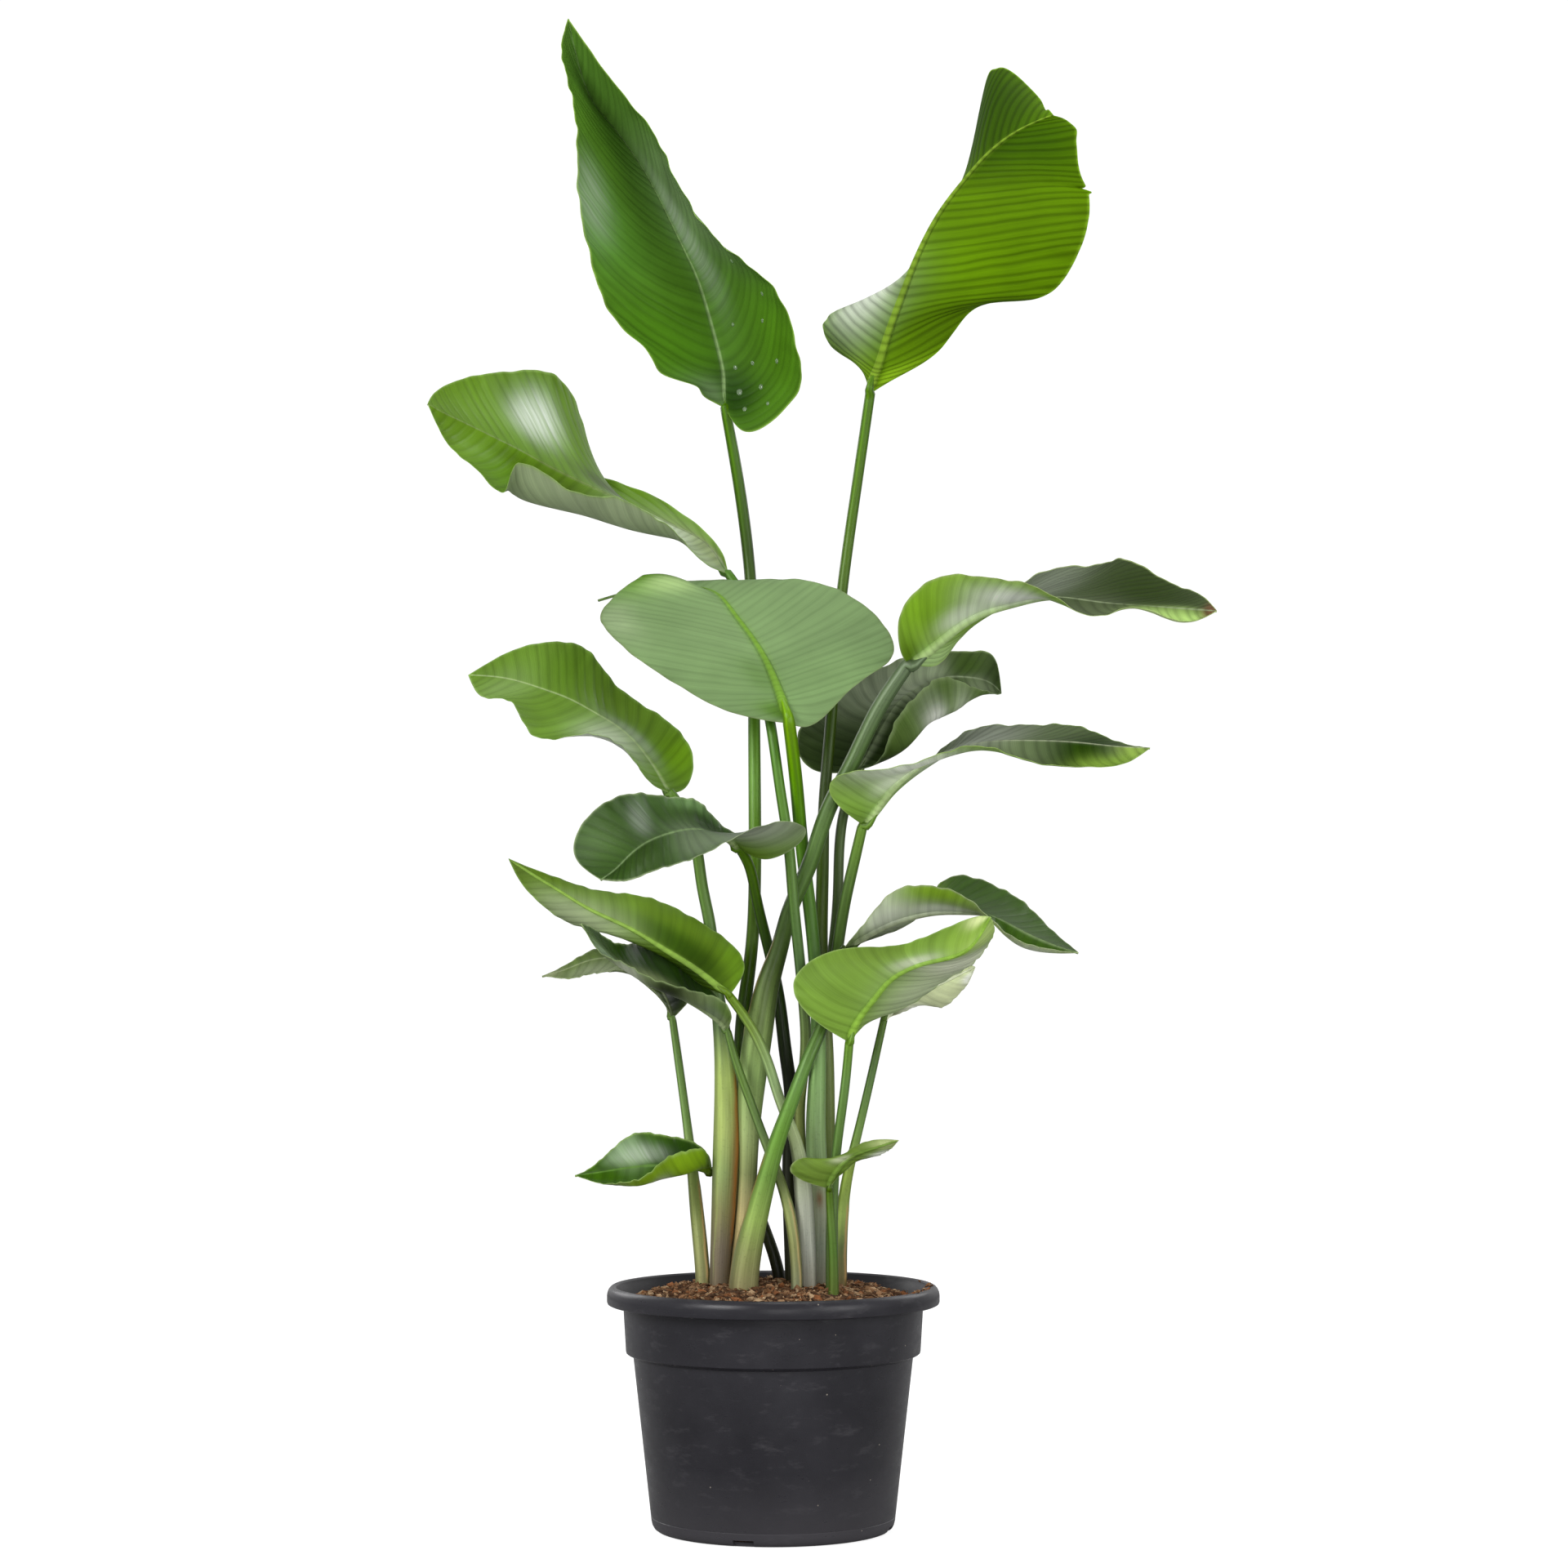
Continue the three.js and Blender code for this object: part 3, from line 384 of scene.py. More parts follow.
@dataclass(frozen=True)
class PotFinish:
    """Matt black nursery plastic with a trace of dust."""

    dark: Rgb = (35, 34, 39)
    light: Rgb = (47, 46, 51)
    dusty: Rgb = (82, 80, 84)
    speck: Rgb = (170, 160, 148)
    paler_foot_height: float = 0.07
    specks_a_metre: float = 120.0
    specular: float = 0.28

    def specks(self, shader: Shader, here: bpy.types.NodeSocket) -> bpy.types.NodeSocket:
        """Small round specks in about one cell of four."""
        cells = shader.add("ShaderNodeTexVoronoi")
        shader.join(here, cells.inputs["Vector"])
        cells.inputs["Scale"].default_value = self.specks_a_metre
        chosen = shader.add("ShaderNodeSeparateColor")
        shader.join(cells.outputs["Color"], chosen.inputs[0])
        size = shader.spread(chosen.outputs[0], 0.76, 1.0, 0.0, 0.1)
        return shader.math("LESS_THAN", cells.outputs["Distance"], size)

    def material(self) -> bpy.types.Material:
        """Builds the material on object coordinates."""
        shader = Shader("nursery_pot_plastic")
        here = shader.object_place()
        cloud = shader.spread(shader.noise(here, 11.0, 4.0, 0.6), 0.35, 0.65, 0.0, 1.0)
        color = shader.mixed(cloud, paint(self.dark), paint(self.light))
        rubbed = shader.noise(shader.scaled(here, (30.0, 30.0, 90.0)), 1.0, 4.0, 0.7)
        color = shader.mixed(shader.spread(rubbed, 0.56, 0.74, 0.0, 0.4), color, paint(self.dusty))
        # Paler towards the bottom, below this height.
        foot = shader.spread(shader.axis(here, "Z"), self.paler_foot_height, 0.0, 0.0, 0.6)
        color = shader.mixed(foot, color, paint(self.dusty))
        speck = shader.math("MULTIPLY", self.specks(shader, here), 0.6)
        turned = shader.noise(shader.scaled(here, (2.0, 2.0, 260.0)), 1.0, 2.0)
        grain = shader.relief(shader.noise(here, 900.0, 2.0), 0.00006)
        return shader.finished(
            Base_Color=shader.mixed(speck, color, paint(self.speck)),
            Roughness=shader.spread(rubbed, NOISE_LOW, NOISE_HIGH, 0.26, 0.4),
            Normal=shader.relief(turned, 0.00005, grain),
            Specular_IOR_Level=self.specular,
        )


@dataclass(frozen=True)
class SoilFinish:
    """Peat and coir: dark between the crumbs, paler on them."""

    name: str
    deep: Rgb
    mid: Rgb
    pale: Rgb
    by_crumb: bool = False

    def material(self) -> bpy.types.Material:
        """Builds the material, which reads each crumb's own tone where there is one."""
        shader = Shader(self.name)
        here = shader.object_place()
        lumps = shader.noise(here, 120.0, 5.0, 0.7)
        grains = shader.noise(here, 520.0, 4.0, 0.7)
        color = shader.mixed(shader.spread(lumps, 0.36, 0.6, 0.0, 1.0), paint(self.deep), paint(self.mid))
        color = shader.mixed(shader.spread(grains, 0.52, 0.72, 0.0, 0.8), color, paint(self.pale))
        if self.by_crumb:
            color = shader.mixed(0.75, color, shader.attribute(CRUMB_TONE, "Color"))
            color = shader.mixed(shader.spread(grains, NOISE_LOW, 0.5, 0.5, 0.0), color, paint(self.deep))
        relief = shader.relief(lumps, 0.003, shader.relief(grains, 0.0012))
        return shader.finished(Base_Color=color, Normal=relief, Roughness=0.95, Specular_IOR_Level=0.15)


@dataclass(frozen=True)
class WaterFinish:
    """Clear drops left from watering."""

    def material(self) -> bpy.types.Material:
        """Builds the material."""
        shader = Shader("water_drop")
        cloud = shader.noise(shader.object_place(), 400.0)
        rough = shader.spread(cloud, NOISE_LOW, NOISE_HIGH, 0.03, 0.09)
        tint = paint((205, 232, 190))
        return shader.finished(Base_Color=tint, Roughness=rough, IOR=1.33, Transmission_Weight=0.75)


def deselect_all() -> None:
    """Leaves nothing selected, so that the next operator acts on its own piece alone."""
    if bpy.context.object and bpy.context.object.mode != "OBJECT":
        bpy.ops.object.mode_set(mode="OBJECT")
    bpy.ops.object.select_all(action="DESELECT")


def make_active(piece: bpy.types.Object) -> None:
    """Selects one piece alone."""
    deselect_all()
    piece.select_set(True)
    bpy.context.view_layer.objects.active = piece


def smooth(piece: bpy.types.Object, degrees: float) -> None:
    """Shades a piece smooth, but for edges sharper than this angle."""
    make_active(piece)
    bpy.ops.object.shade_smooth_by_angle(angle=math.radians(degrees))


def make_piece(name: str, points: object, faces: list, *materials: bpy.types.Material) -> bpy.types.Object:
    """Makes an object at the origin.

    Args:
        name: Its name, and that of its mesh.
        points: Places in metres.
        faces: The indices of each face's points.
        materials: Its finishes.

    Returns:
        The new object.
    """
    mesh = bpy.data.meshes.new(name)
    mesh.from_pydata(points, [], faces)
    for material in materials:
        mesh.materials.append(material)
    piece = bpy.data.objects.new(name, mesh)
    bpy.context.scene.collection.objects.link(piece)
    return piece


class ClosedMesh:
    """Collects rings and grids of points, their faces and their marks, into one mesh."""

    LAYERS = {
        PLACE: ("FLOAT_VECTOR", "vector"),
        TONE: ("FLOAT_COLOR", "color"),
        PAINTED_SHEEN: ("FLOAT", "value"),
    }

    def __init__(self) -> None:
        """Starts with nothing."""
        self.points: list[np.ndarray] = []
        self.marks: dict[str, list[np.ndarray]] = {key: [] for key in self.LAYERS}
        self.faces: list[list[int]] = []
        self.finish: list[int] = []
        self.count = 0

    def add_points(self, points: np.ndarray, place: np.ndarray, tone: np.ndarray, sheen: np.ndarray) -> int:
        """Adds points with their marks.

        Args:
            points: Places in metres, one a row.
            place: The pattern's coordinates, one a row.
            tone: Linear colours, one a row.
            sheen: How much painted pale sheen, one a row.

        Returns:
            The index of the first new point.
        """
        first = self.count
        self.points.append(points)
        for key, values in ((PLACE, place), (TONE, tone), (PAINTED_SHEEN, sheen)):
            self.marks[key].append(values)
        self.count += len(points)
        return first

    def add_faces(self, faces: np.ndarray, finish: int) -> None:
        """Adds faces of one size, all with the same finish."""
        self.faces.extend(faces.tolist())
        self.finish.extend([finish] * len(faces))

    def build(self, name: str, materials: list[bpy.types.Material]) -> bpy.types.Object:
        """Makes the object.

        Args:
            name: The piece's name.
            materials: Its finishes, in the order that the faces name them.

        Returns:
            The new object, at the origin.
        """
        piece = make_piece(name, np.concatenate(self.points), self.faces, *materials)
        mesh = piece.data
        mesh.polygons.foreach_set("material_index", self.finish)
        for key, (kind, slot) in self.LAYERS.items():
            values = np.concatenate(self.marks[key]).astype(np.float32)
            if key == TONE:
                values = np.column_stack([values, np.ones(len(values), np.float32)])
            layer = mesh.attributes.new(key, kind, "POINT")
            layer.data.foreach_set(slot, values.ravel())
        mesh.validate()
        return piece


def grid_faces(first: int, rows: int, columns: int, flip: bool, around: bool = False) -> np.ndarray:
    """The quads of a grid of points laid out row by row.

    Args:
        first: The index of its first point.
        rows: How many rows of points.
        columns: How many points a row.
        flip: Whether the faces look the other way.
        around: Whether each row closes on itself.

    Returns:
        Four indices a row.
    """
    across = np.arange(columns if around else columns - 1)
    beside = (across + 1) % columns
    start = first + np.arange(rows - 1)[:, None] * columns
    low_left, low_right = start + across, start + beside
    quads = np.stack([low_left, low_right, low_right + columns, low_left + columns], -1).reshape(-1, 4)
    return quads[:, ::-1] if flip else quads


class NaturalSpline:
    """A natural cubic spline through points of any number of channels, at rising knots."""

    def __init__(self, knots: np.ndarray, points: np.ndarray) -> None:
        """Solves for the spline's bends, which are zero at both ends."""
        count = len(knots)
        step = np.diff(knots)
        matrix = np.eye(count)
        target = np.zeros_like(points)
        for i in range(1, count - 1):
            matrix[i, i - 1 : i + 2] = step[i - 1], 2 * (step[i - 1] + step[i]), step[i]
            slope_after = (points[i + 1] - points[i]) / step[i]
            slope_before = (points[i] - points[i - 1]) / step[i - 1]
            target[i] = 6 * (slope_after - slope_before)
        self.knots = knots
        self.points = points
        self.step = step
        self.bends = np.linalg.solve(matrix, target)

    def __call__(self, at: np.ndarray) -> np.ndarray:
        """The points of the curve at these knots."""
        i = np.clip(np.searchsorted(self.knots, at, side="right") - 1, 0, len(self.step) - 1)
        b = ((at - self.knots[i]) / self.step[i])[..., None]
        a = 1 - b
        cube = (self.step[i] ** 2 / 6)[..., None]
        bent = ((a**3 - a) * self.bends[i] + (b**3 - b) * self.bends[i + 1]) * cube
        return a * self.points[i] + b * self.points[i + 1] + bent


def unit(vectors: np.ndarray) -> np.ndarray:
    """Vectors of length 1 in the same directions."""
    return vectors / np.maximum(np.linalg.norm(vectors, axis=-1, keepdims=True), 1e-12)


def running_length(points: np.ndarray) -> np.ndarray:
    """How far each point lies along the line through all of them."""
    return np.concatenate([[0.0], np.cumsum(np.linalg.norm(np.diff(points, axis=0), axis=1))])


def wrapped(degrees: np.ndarray) -> np.ndarray:
    """Turns between -180 and 180."""
    return (degrees + 180) % 360 - 180


@dataclass(frozen=True)
class EdgeMark:
    """A bulge or a notch in a blade's margin, in millimetres."""

    s: float
    side: int
    reach: float
    out: float
    lift: float = 0.0


@dataclass(frozen=True)
class Patch:
    """A soft-edged patch of another colour on one face of a blade, or, without a colour, a patch of painted
    pale sheen, a painted highlight.
    """

    face: Face
    s: float
    v: float
    reach_s: float
    reach_v: float
    amount: float
    color: Rgb | None = None


@dataclass(frozen=True)
class StalkPatch:
    """A soft-edged patch of colour on a petiole. The turn is -90 at the front, 0 at the right."""

    z: float
    turn: float
    reach_z: float
    reach_turn: float
    amount: float
    color: Rgb


@dataclass(frozen=True)
class SheathEdge:
    """The dried edge where a sheath laps over itself, from one height and turn to another."""

    z_low: float
    z_high: float
    turn_low: float
    turn_high: float
    color: Rgb
    lift: float = 0.8
    width: float = 9.0
    amount: float = 0.8


@dataclass(frozen=True)
class LeafShape:
    """Where one leaf goes, in millimetres.

    Its stem is x, y, z and radius of the petiole's centre line. Its rows are x, y, z on the midrib,
    on the left margin and on the right margin. The cups say how far each half bellies to the underside.
    """

    stem: tuple[Numbers, ...]
    rows: tuple[Numbers, ...]
    tip: Numbers
    left_cup: Numbers
    right_cup: Numbers
    wave: float = 2


@dataclass(frozen=True)
class LeafLook:
    """The colours and small forms of one leaf."""

    upper: Rgb
    under: Rgb
    rib_upper: Rgb
    rib_under: Rgb
    edge: Rgb
    stalk: tuple[tuple[float, Rgb], ...]
    patches: tuple[Patch, ...] = ()
    stalk_patches: tuple[StalkPatch, ...] = ()
    sheath: tuple[SheathEdge, ...] = ()
    edge_marks: tuple[EdgeMark, ...] = ()
    ripple: float = 0.7
    lean: tuple[float, float] = (0.4, 0.4)
    upper_finish: str = "leaf_upper_satin"
    under_finish: str = "leaf_under_satin"
    rows: int = 150


class BladeSurface:
    """The curved sheet of a blade, between its midrib and its margins."""

    MARGIN_WAVES = 3.2
    WAVE_LAG = 0.4
    RIPPLES = 13.0
    FINE_RIPPLES = 1.7
    FINE_RIPPLE_HEIGHT = 0.6
    RIB_TIP_RADIUS = 1.0
    RIB_WIDTH = 1.2
    RIB_LARGEST_SHARE = 0.3
    RIB_REACH = 0.02
    NORMAL_REACH = 0.006

    def __init__(self, shape: LeafShape, look: LeafLook) -> None:
        """Fits the curves through the leaf's stations."""

        def end(point: Numbers) -> list[float]:
            return [*point, *point, *point, 0.0, 0.0]

        body = [[*row, left, right] for row, left, right in zip(shape.rows, shape.left_cup, shape.right_cup)]
        stations = np.array([end(shape.stem[-1][:3]), *body, end(shape.tip)], float)
        chords = np.diff(stations, axis=0)
        steps = sum(np.linalg.norm(chords[:, k : k + 3], axis=1) for k in (0, 3, 6)) / 3
        knots = np.concatenate([[0.0], np.cumsum(steps)])
        self.length = knots[-1]
        self.curves = NaturalSpline(knots / self.length, stations)
        self.shape = shape
        self.look = look

    def rib_radius(self, s: np.ndarray) -> np.ndarray:
        """The midrib's radius along the blade."""
        start = self.shape.stem[-1][3]
        return start + (self.RIB_TIP_RADIUS - start) * np.sqrt(s)

    def width(self, s: np.ndarray, side: np.ndarray) -> np.ndarray:
        """The distance from the midrib to the margin on a side, -1 or 1."""
        across = self.points(s, side) - self.points(s, np.zeros_like(s))
        return np.maximum(np.linalg.norm(across, axis=-1), 1e-6)

    def rib_foot(self, s: np.ndarray, width: np.ndarray) -> np.ndarray:
        """The share of the width that the midrib covers."""
        return np.minimum(self.RIB_WIDTH * self.rib_radius(s) / width, self.RIB_LARGEST_SHARE)

    def points(self, s: np.ndarray, v: np.ndarray) -> np.ndarray:
        """Points of the middle surface.

        Args:
            s: Places along the rib, 0 at the base to 1 at the tip.
            v: Places across, -1 on the left margin to 1 on the right one.

        Returns:
            Points in millimetres.
        """
        at = self.curves(s)
        left = v < 0
        rib = at[..., :3]
        half = np.where(left[..., None], at[..., 3:6], at[..., 6:9]) - rib
        cup = np.where(left, at[..., 9], at[..., 10])
        ahead = self.curves(np.minimum(s + self.RIB_REACH, 1))[..., :3]
        behind = self.curves(np.maximum(s - self.RIB_REACH, 0))[..., :3]
        upper = unit(np.cross(half, ahead - behind) * np.where(left, -1.0, 1.0)[..., None])
        w = np.abs(v)
        swell = np.sin(np.pi * s)

        def cycle(count: float, left_lag: float, right_lag: float) -> np.ndarray:
            return np.sin(2 * np.pi * (count * s + np.where(left, left_lag, right_lag)))

        wave = self.shape.wave * w**2 * swell * cycle(self.MARGIN_WAVES, 0, self.WAVE_LAG)
        fine = self.FINE_RIPPLE_HEIGHT * cycle(self.FINE_RIPPLES * self.RIPPLES, 0.5, 0.2)
        ripple = self.look.ripple * w**5 * swell * (cycle(self.RIPPLES, 0.1, 0.6) + fine)
        rise = wave + ripple - 4 * w * (1 - w) * np.maximum(cup, 0)
        out = np.zeros_like(s)
        for mark in self.look.edge_marks:
            near = np.exp(-(((s - mark.s) / mark.reach) ** 2)) * w**3 * (v * mark.side > 0)
            out = out + mark.out * near
            rise = rise + mark.lift * near
        return rib + half * w[..., None] + unit(half) * out[..., None] + upper * rise[..., None]

    def normals(self, s: np.ndarray, v: np.ndarray) -> np.ndarray:
        """Unit normals on the upper side."""
        near = self.NORMAL_REACH
        along = self.points(np.minimum(s + near, 1), v) - self.points(np.maximum(s - near, 0), v)
        across = self.points(s, np.minimum(v + near, 1)) - self.points(s, np.maximum(v - near, -1))
        return unit(np.cross(across, along))


class Leaf:
    """One leaf: a blade with its midrib, and the petiole and sheath that carry it.

    The pale lines along the petiole, each given by its turn, its width and its strength, are painted
    highlights, and its darker flanks are painted shade.
    """

    THICKNESS = 0.8
    EDGE_THICKNESS = 0.45
    RIB_HEIGHT = 1.3
    GROOVE_DEPTH = 0.3
    GROOVE_WIDTH = 0.8
    EDGE_LINE = 1.3
    EDGE_PAINT = 0.75
    RIB_LINE = 0.55
    RIB_PAINT = 0.85
    PATCH_FLATNESS = 1.3
    VEIN_CURVE = 1.3
    RIB_COLUMNS = (0.0, 0.3, 0.58, 0.8, 0.94, 1.0)
    OPEN_COLUMNS = (0.04, 0.1, 0.17, 0.25, 0.33, 0.42, 0.51, 0.6, 0.69, 0.77, 0.84, 0.9, 0.945, 0.975, 1.0)
    ROW_INSET = 0.03
    ROOTED_HEIGHT = 198.0
    STALK_RINGS = 150
    STALK_SIDES = 48
    FADE_RUN = (0.012, 0.11)
    FADE_RINGS = 9
    FADE_RATE = 5
    FLANK_SHADE = 0.13
    PAINTED_HIGHLIGHT_LINES = ((-118.0, 13.0, 0.8), (-62.0, 9.0, 0.4), (70.0, 12.0, 0.6), (150.0, 10.0, 0.4))
    LINE_SWAY = 6
    LINE_SWAY_RATE = 0.008
    SHEATH_FADE = 12
    SHEATH_SLOPE = 55
    SHEATH_STEP = 4
    SHARPEST_SMOOTH = 55.0

    def __init__(self, name: str, shape: LeafShape, look: LeafLook) -> None:
        """Keeps the leaf's data and fits its blade."""
        self.name = name
        self.shape = shape
        self.look = look
        self.surface = BladeSurface(shape, look)

    def columns(self, s: np.ndarray) -> np.ndarray:
        """Where the points of each row lie across the blade, closer over the midrib and the margins."""
        rib = np.array(self.RIB_COLUMNS)
        open_part = np.array(self.OPEN_COLUMNS)
        sides = []
        for sign in (-1.0, 1.0):
            foot = self.surface.rib_foot(s, self.surface.width(s, np.full_like(s, sign)))[:, None]
            places = np.concatenate([foot * rib, foot + (1 - foot) * open_part], axis=1)
            sides.append(sign * places)
        return np.concatenate([sides[0][:, :0:-1], sides[1]], axis=1)

    def tones(self, face: Face, s: np.ndarray, v: np.ndarray, over_rib: np.ndarray,
              to_edge: np.ndarray) -> tuple[np.ndarray, np.ndarray]:
        """Colours one face of the blade.

        Args:
            face: Which face.
            s: Places along the rib.
            v: Places across.
            over_rib: 0 in the middle of the midrib, 1 at its foot, more beyond.
            to_edge: Millimetres from the margin.

        Returns:
            The linear colours and the amounts of sheen.
        """
        look = self.look
        upper = face is Face.UPPER
        color = np.tile(linear(look.upper if upper else look.under), (len(s), 1))
        sheen = np.zeros(len(s))
        for patch in look.patches:
            if patch.face is not face:
                continue
            far = ((s - patch.s) / patch.reach_s) ** 2 + ((v - patch.v) / patch.reach_v) ** 2
            amount = patch.amount * np.exp(-(far**self.PATCH_FLATNESS))
            # A patch without a colour adds painted sheen.
            if patch.color is None:
                sheen = np.maximum(sheen, amount)
            else:
                color = blend(color, linear(patch.color), amount)
        if upper:
            line = self.RIB_PAINT * np.exp(-((over_rib / self.RIB_LINE) ** 2))
            color = blend(color, linear(look.rib_upper), line)
        else:
            color = blend(color, linear(look.rib_under), np.clip(1.25 - over_rib**4, 0, 1) * 0.9)
        line = self.EDGE_PAINT * np.exp(-((to_edge / self.EDGE_LINE) ** 2))
        color = blend(color, linear(look.edge), line)
        return color, sheen * np.clip(over_rib - 0.4, 0, 1)

    def add_blade(self, mesh: ClosedMesh) -> None:
        """Adds the blade: two faces with a thin wall all round."""
        count = self.look.rows
        share = self.ROW_INSET + (1 - 2 * self.ROW_INSET) * np.arange(count + 1) / count
        s = 0.5 - 0.5 * np.cos(np.pi * share) / math.cos(self.ROW_INSET * np.pi)
        s = np.clip(s, 0.002, 0.999)
        v = self.columns(s)
        rows, columns = v.shape
        s_all = np.repeat(s, columns)
        v_all = v.ravel()
        points = self.surface.points(s_all, v_all)
        normals = self.surface.normals(s_all, v_all)
        width = self.surface.width(s_all, np.where(v_all < 0, -1.0, 1.0))
        radius = self.surface.rib_radius(s_all)
        over_rib = np.abs(v_all) / self.surface.rib_foot(s_all, width)
        to_edge = (1 - np.abs(v_all)) * width
        lean = np.where(v_all < 0, *self.look.lean)
        along = s_all * self.surface.length - lean * np.abs(v_all) ** self.VEIN_CURVE * width
        place = np.column_stack([along * MM, v_all * width * MM, v_all])
        half = 0.5 * (self.THICKNESS + (self.EDGE_THICKNESS - self.THICKNESS) * np.abs(v_all) ** 6)
        ridge = self.RIB_HEIGHT * radius * np.sqrt(np.clip(1 - over_rib**2, 0, 1))
        groove = self.GROOVE_DEPTH * radius * np.clip(1 - (over_rib / self.GROOVE_WIDTH) ** 2, 0, 1)
        firsts = {}
        for face in Face:
            depth = half - groove if face is Face.UPPER else half + ridge
            tone, sheen = self.tones(face, s_all, v_all, over_rib, to_edge)
            spots = (points + face.value * depth[:, None] * normals) * MM
            firsts[face] = mesh.add_points(spots, place, tone, sheen)
            finish = 0 if face is Face.UPPER else 1
            mesh.add_faces(grid_faces(firsts[face], rows, columns, face is Face.UNDER), finish)
        ring = np.concatenate([
            np.arange(columns),
            np.arange(1, rows) * columns + columns - 1,
            (rows - 1) * columns + np.arange(columns - 2, -1, -1),
            np.arange(rows - 2, 0, -1) * columns,
        ])
        ahead = np.roll(ring, -1)
        top, under = firsts[Face.UPPER], firsts[Face.UNDER]
        mesh.add_faces(np.stack([top + ahead, top + ring, under + ring, under + ahead], -1), 1)

    def stalk_tones(self, z: np.ndarray, turn: np.ndarray) -> np.ndarray:
        """Colours the petiole by height in millimetres and turn in degrees, with painted shade on its flanks
        and painted highlight lines.
        """
        heights = [height for height, _ in self.look.stalk]
        steps = np.array([linear(color) for _, color in self.look.stalk])
        color = np.column_stack([np.interp(z, heights, steps[:, k]) for k in range(3)])
        # Painted shade: darker on the flanks than at the front and the back.
        flank = self.FLANK_SHADE * np.cos(np.radians(2 * (turn + 90)))
        color = color * (1 - self.FLANK_SHADE + flank)[:, None]
        # Painted highlights: pale lines at fixed turns round the petiole.
        for at, reach, amount in self.PAINTED_HIGHLIGHT_LINES:
            off = wrapped(turn - at - self.LINE_SWAY * np.sin(self.LINE_SWAY_RATE * z))
            color = blend(color, np.minimum(1.7 * color + 0.03, 1.0), amount * np.exp(-((off / reach) ** 2)))
        for patch in self.look.stalk_patches:
            off = wrapped(turn - patch.turn)
            far = ((z - patch.z) / patch.reach_z) ** 2 + (off / patch.reach_turn) ** 2
            color = blend(color, linear(patch.color), patch.amount * np.exp(-far))
        return color

    def sheath_lift(self, z: np.ndarray, turn: np.ndarray,
                    color: np.ndarray) -> tuple[np.ndarray, np.ndarray]:
        """Raises and colours the dried edges of the sheath.

        Args:
            z: Heights in millimetres.
            turn: Turns in degrees.
            color: The colours so far.

        Returns:
            How far the skin is lifted, in millimetres, and the colours.
        """
        lift = np.zeros_like(z)
        for edge in self.look.sheath:
            up = (z - edge.z_low) / (edge.z_high - edge.z_low)
            line = edge.turn_low + (edge.turn_high - edge.turn_low) * up
            line = line + 3.5 * np.sin(z * 0.09) + 2.0 * np.sin(z * 0.23 + 1)
            start = np.clip((up + 0.02) * self.SHEATH_FADE, 0, 1)
            inside = start * np.clip((1.02 - up) * self.SHEATH_FADE, 0, 1)
            off = wrapped(turn - line)
            slope = np.exp(-off / self.SHEATH_SLOPE)
            step = np.where(off > 0, slope, np.exp(-((off / self.SHEATH_STEP) ** 2)))
            lift = lift + edge.lift * inside * step
            amount = edge.amount * inside * np.exp(-((off / edge.width) ** 2))
            color = blend(color, linear(edge.color), amount)
        return lift, color

    def add_stalk(self, mesh: ClosedMesh) -> None:
        """Adds the petiole, from inside the soil up to where it runs out into the midrib."""
        shape = self.shape
        rooted = (shape.stem[0][0], shape.stem[0][1], self.ROOTED_HEIGHT, shape.stem[0][3])
        stations = np.array([rooted, *shape.stem], float)
        knots = running_length(stations[:, :3])
        line = NaturalSpline(knots, stations)(np.linspace(0, knots[-1], self.STALK_RINGS))
        run = np.linspace(*self.FADE_RUN, self.FADE_RINGS)
        share = 1 - self.FADE_RATE * run
        radius = share * self.surface.rib_radius(run)
        middle = np.zeros_like(run)
        depth = (radius * (2 - share))[:, None]
        centre = self.surface.points(run, middle) - self.surface.normals(run, middle) * depth
        centres = np.concatenate([line[:, :3], centre])
        radii = np.concatenate([line[:, 3], radius])
        tangents = unit(np.gradient(centres, axis=0))
        across = np.array([1.0, 0.0, 0.0])
        angles = 2 * np.pi * np.arange(self.STALK_SIDES) / self.STALK_SIDES
        turn = np.degrees(angles)
        first = mesh.count
        for centre_at, radius_at, tangent, climb in zip(centres, radii, tangents, running_length(centres)):
            across = unit(across - tangent * np.dot(across, tangent))
            side = np.cross(tangent, across)
            z = np.full(self.STALK_SIDES, centre_at[2])
            tone = self.stalk_tones(z, turn)
            lift, tone = self.sheath_lift(z, turn, tone)
            reach = radius_at + lift
            ray = np.cos(angles)[:, None] * across + np.sin(angles)[:, None] * side
            place = np.column_stack([np.cos(angles), np.sin(angles), np.full_like(angles, climb * MM)])
            mesh.add_points((centre_at + reach[:, None] * ray) * MM, place, tone, np.zeros_like(z))
        rings = len(centres)
        mesh.add_faces(grid_faces(first, rings, self.STALK_SIDES, False, around=True), 2)
        top = first + (rings - 1) * self.STALK_SIDES
        ends = np.arange(self.STALK_SIDES)
        mesh.add_faces(np.array([first + ends[::-1]]), 2)
        mesh.add_faces(np.array([top + ends]), 2)

    def build(self, finishes: dict[str, bpy.types.Material]) -> bpy.types.Object:
        """Models the leaf and puts it in its node's place.

        Args:
            finishes: The leaf materials by name.

        Returns:
            The finished piece.
        """
        mesh = ClosedMesh()
        self.add_blade(mesh)
        self.add_stalk(mesh)
        names = (self.look.upper_finish, self.look.under_finish, "leaf_stalk")
        piece = mesh.build(self.name + "_fine", [finishes[name] for name in names])
        smooth(piece, self.SHARPEST_SMOOTH)
        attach(piece, BODY)
        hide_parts(self.name)
        return piece


